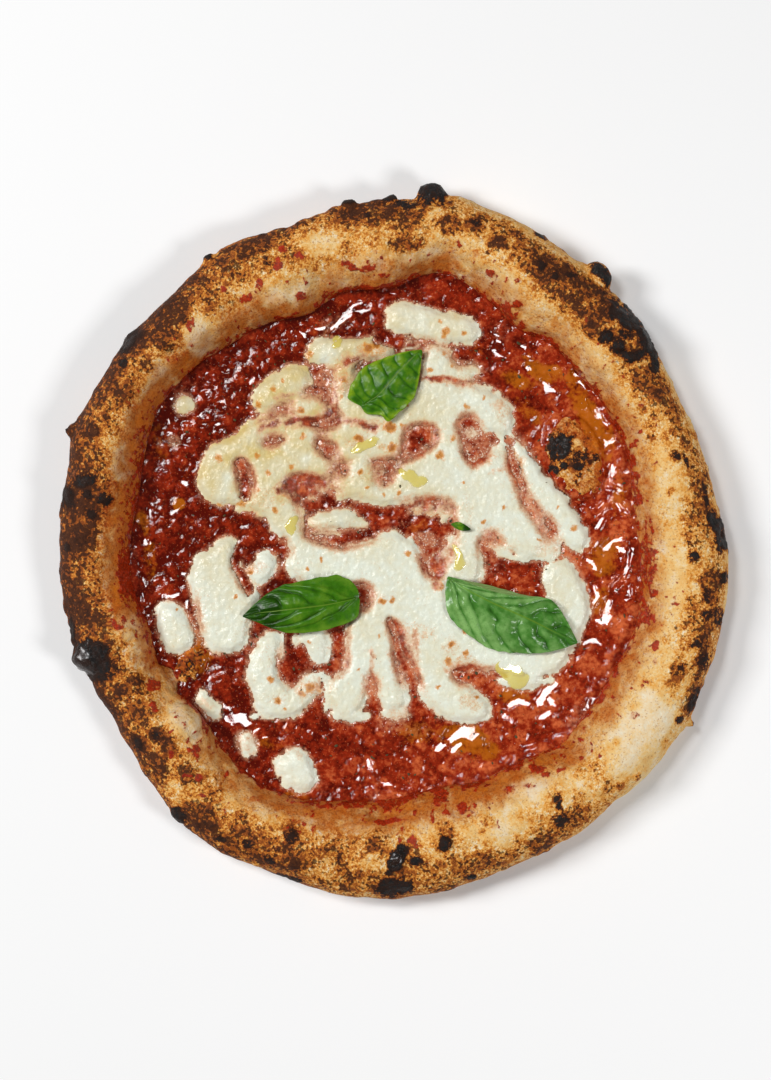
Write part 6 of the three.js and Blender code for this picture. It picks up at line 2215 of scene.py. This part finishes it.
@dataclass
class Studio:
    """A pale floor, softboxes, and a camera that looks straight down.

    Each light is the way to it from the pizza, its distance, its side and its power.
    """

    floor_size: float = 8.0
    view_height: float = 1.104
    view_at: tuple[float, float, float] = (-3.22, 0.23, 12.0)
    lens: float = 80.0
    key: tuple = ((-0.72, 0.16, 0.68), 2.5, 0.7, 37.0)
    top: tuple = ((-0.33, 0.3, 0.88), 2.6, 0.5, 20.0)
    fill: tuple = ((0.62, -0.3, 0.72), 1.4, 0.32, 6.8)
    sky: float = 0.07

    def eye(self) -> Vector:
        """Where the camera is."""
        return Vector((np.array(self.view_at) + MIDDLE) * MM) + Vector((0, 0, self.view_height))

    def shine(self, x: float, y: float) -> tuple[float, float]:
        """Works out how a surface leans that shows the upper softbox to the camera.

        Args:
            x: Its place along X.
            y: Its place along Y.

        Returns:
            Its slope along X and along Y.
        """
        place = Vector((np.array((x, y, 8.0)) + MIDDLE) * MM)
        light = Vector(self.top[0]).normalized() * self.top[1]
        half = (light - place).normalized() + (self.eye() - place).normalized()
        return -half.x / half.z, -half.y / half.z

    def build(self) -> None:
        """Makes the floor, the lights and the camera."""
        mesh = bpy.data.meshes.new("floor")
        half = self.floor_size / 2
        corners = [(-half, -half, 0), (half, -half, 0), (half, half, 0), (-half, half, 0)]
        mesh.from_pydata(corners, [], [(0, 1, 2, 3)])
        made, sketch = blank("floor_white")
        tint = sketch.blend(sketch.lumps(400.0), linear(250, 250, 250), linear(252, 252, 252))
        shader = sketch.node("ShaderNodeBsdfDiffuse", {"Color": tint})
        out = sketch.node("ShaderNodeOutputMaterial")
        sketch.tree.links.new(shader.outputs[0], out.inputs[0])
        mesh.materials.append(made)
        floor = bpy.data.objects.new("floor", mesh)
        bpy.context.scene.collection.objects.link(floor)
        self.light("key_softbox", *self.key)
        self.light("top_softbox", *self.top)
        self.light("fill_softbox", *self.fill)
        world = bpy.data.worlds.new("studio_dome")
        world.use_nodes = True
        world.node_tree.nodes["Background"].inputs[0].default_value = (1, 1, 1, 1)
        world.node_tree.nodes["Background"].inputs[1].default_value = self.sky
        bpy.context.scene.world = world
        bpy.context.scene.view_settings.view_transform = "Standard"
        self.camera()

    def light(self, name: str, way: Sequence[float], distance: float, size: float, power: float) -> None:
        """Makes one square light that faces the pizza.

        Args:
            name: Its name.
            way: The direction from the pizza to it.
            distance: How far away it is, in metres.
            size: Its side.
            power: Its power in watts.
        """
        data = bpy.data.lights.new(name, "AREA")
        data.shape = "SQUARE"
        data.size = size
        data.energy = power
        light = bpy.data.objects.new(name, data)
        towards = Vector(way).normalized()
        light.location = towards * distance
        light.rotation_euler = towards.to_track_quat("Z", "Y").to_euler()
        bpy.context.scene.collection.objects.link(light)

    def camera(self) -> None:
        """Makes the camera."""
        data = bpy.data.cameras.new("camera")
        data.lens = self.lens
        data.sensor_width = 36.0
        camera = bpy.data.objects.new("camera", data)
        camera.location = self.eye()
        bpy.context.scene.collection.objects.link(camera)
        bpy.context.scene.camera = camera


BUBBLES = [
    DoughBubble(
        "dough_bubble_right", 84, 39, 22, 14, 6.0, 110,
        charred=[
            (77, 43.5, 6.6, 6, 0, 1), (86, 38, 4, 3, 20, 0.6), (73, 32, 4.4, 2.8, 0, 0.95),
            (86, 34.5, 2.6, 2.4, 0, 0.9), (79, 34.5, 2, 2, 0, 0.85), (94, 38, 2, 2.2, 0, 0.8),
            (86, 30.5, 2, 1.4, 0, 0.7), (97, 32, 1.3, 1.3, 0, 0.7), (84, 27, 1.6, 1, 0, 0.6),
        ],
        browned=[
            (85, 37, 8, 6, 0, 0.62), (76, 37, 7, 8, 0, 0.4), (90, 28, 8, 8, 0, 0.2), (80, 50, 8, 4, 0, 0.25),
        ],
        soaked=[
            (92, 47, 5, 12, 20, 0.6), (96, 32, 3, 8, 0, 0.55), (88, 30, 8, 7, 0, 0.2),
            (80, 51, 9, 4, -20, 0.3),
        ],
    ),
    DoughBubble(
        "dough_bubble_left", -93.5, -57.5, 10.5, 7.5, 4.2, 50,
        charred=[
            (-90, -50.5, 2.6, 3.4, 0, 0.5), (-99, -61, 2.4, 2.2, 0, 0.45), (-86, -60, 2.4, 1.6, 0, 0.45),
        ],
        browned=[(-93, -57, 9, 4, 40, 0.4), (-92, -60, 5, 6, 0, 0.35)],
        soaked=[(-94, -50, 7, 4, 20, 0.7), (-88, -56, 5, 4, 0, 0.7), (-97, -58, 4, 3, 0, 0.5)],
        pits=[(-93, -57.5, 2.3), (-93.5, -64.5, 2.2), (-90, -50.5, 1.8), (-99, -61, 1.6)],
    ),
]


def nodes_of(kind: str) -> list[str]:
    """Names of the frame's nodes of one kind, in order."""
    return sorted(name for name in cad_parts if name.startswith(kind))


def main() -> None:
    """Builds the pizza, piece by piece, then the studio round it."""
    logging.basicConfig(level=logging.INFO, format="%(message)s")
    effects, studio, lattice, wider = Effects(), Studio(), Lattice(), Lattice(cell=SAUCE_CELL)
    dough = DoughFinish().build(effects)
    crust = Crust(Solid("crust"))
    crust.build(dough)
    for bubble in BUBBLES:
        bubble.build(dough)

    mozzarella = Mozzarella(lattice, nodes_of("mozzarella"))
    mozzarella.surface()
    sauce = Sauce(wider, crust, Solid("tomato_sauce"), BUBBLES, studio.shine)
    cheese = lattice.at(mozzarella.share, wider.plan)
    sauce.surface(cheese)
    sauce.build(SauceFinish().build(effects), cheese)
    # The sauce's warm, with its painted light and shade, also colours the mozzarella where it is thin.
    under = {"pulp": wider.at(sauce.pulp, lattice.plan), "warm": wider.at(sauce.warm, lattice.plan)}
    mozzarella.build(CheeseFinish().build(effects), under)

    top = wider.at(sauce.top, lattice.plan)
    ground = np.where(mozzarella.share > mozzarella.outline, np.maximum(mozzarella.top, top), top)
    Oil(lattice, nodes_of("olive_oil"), studio.shine).build(OilFinish().build(effects), ground)
    for leaf in BASIL:
        leaf.build(LEAF_FINISHES[leaf.name].build(effects))
    Herbs(lattice).build(HerbFinish().build(effects), ground, mozzarella.share)
    studio.build()
    bpy.context.view_layer.update()


if __name__ == "__main__":
    main()
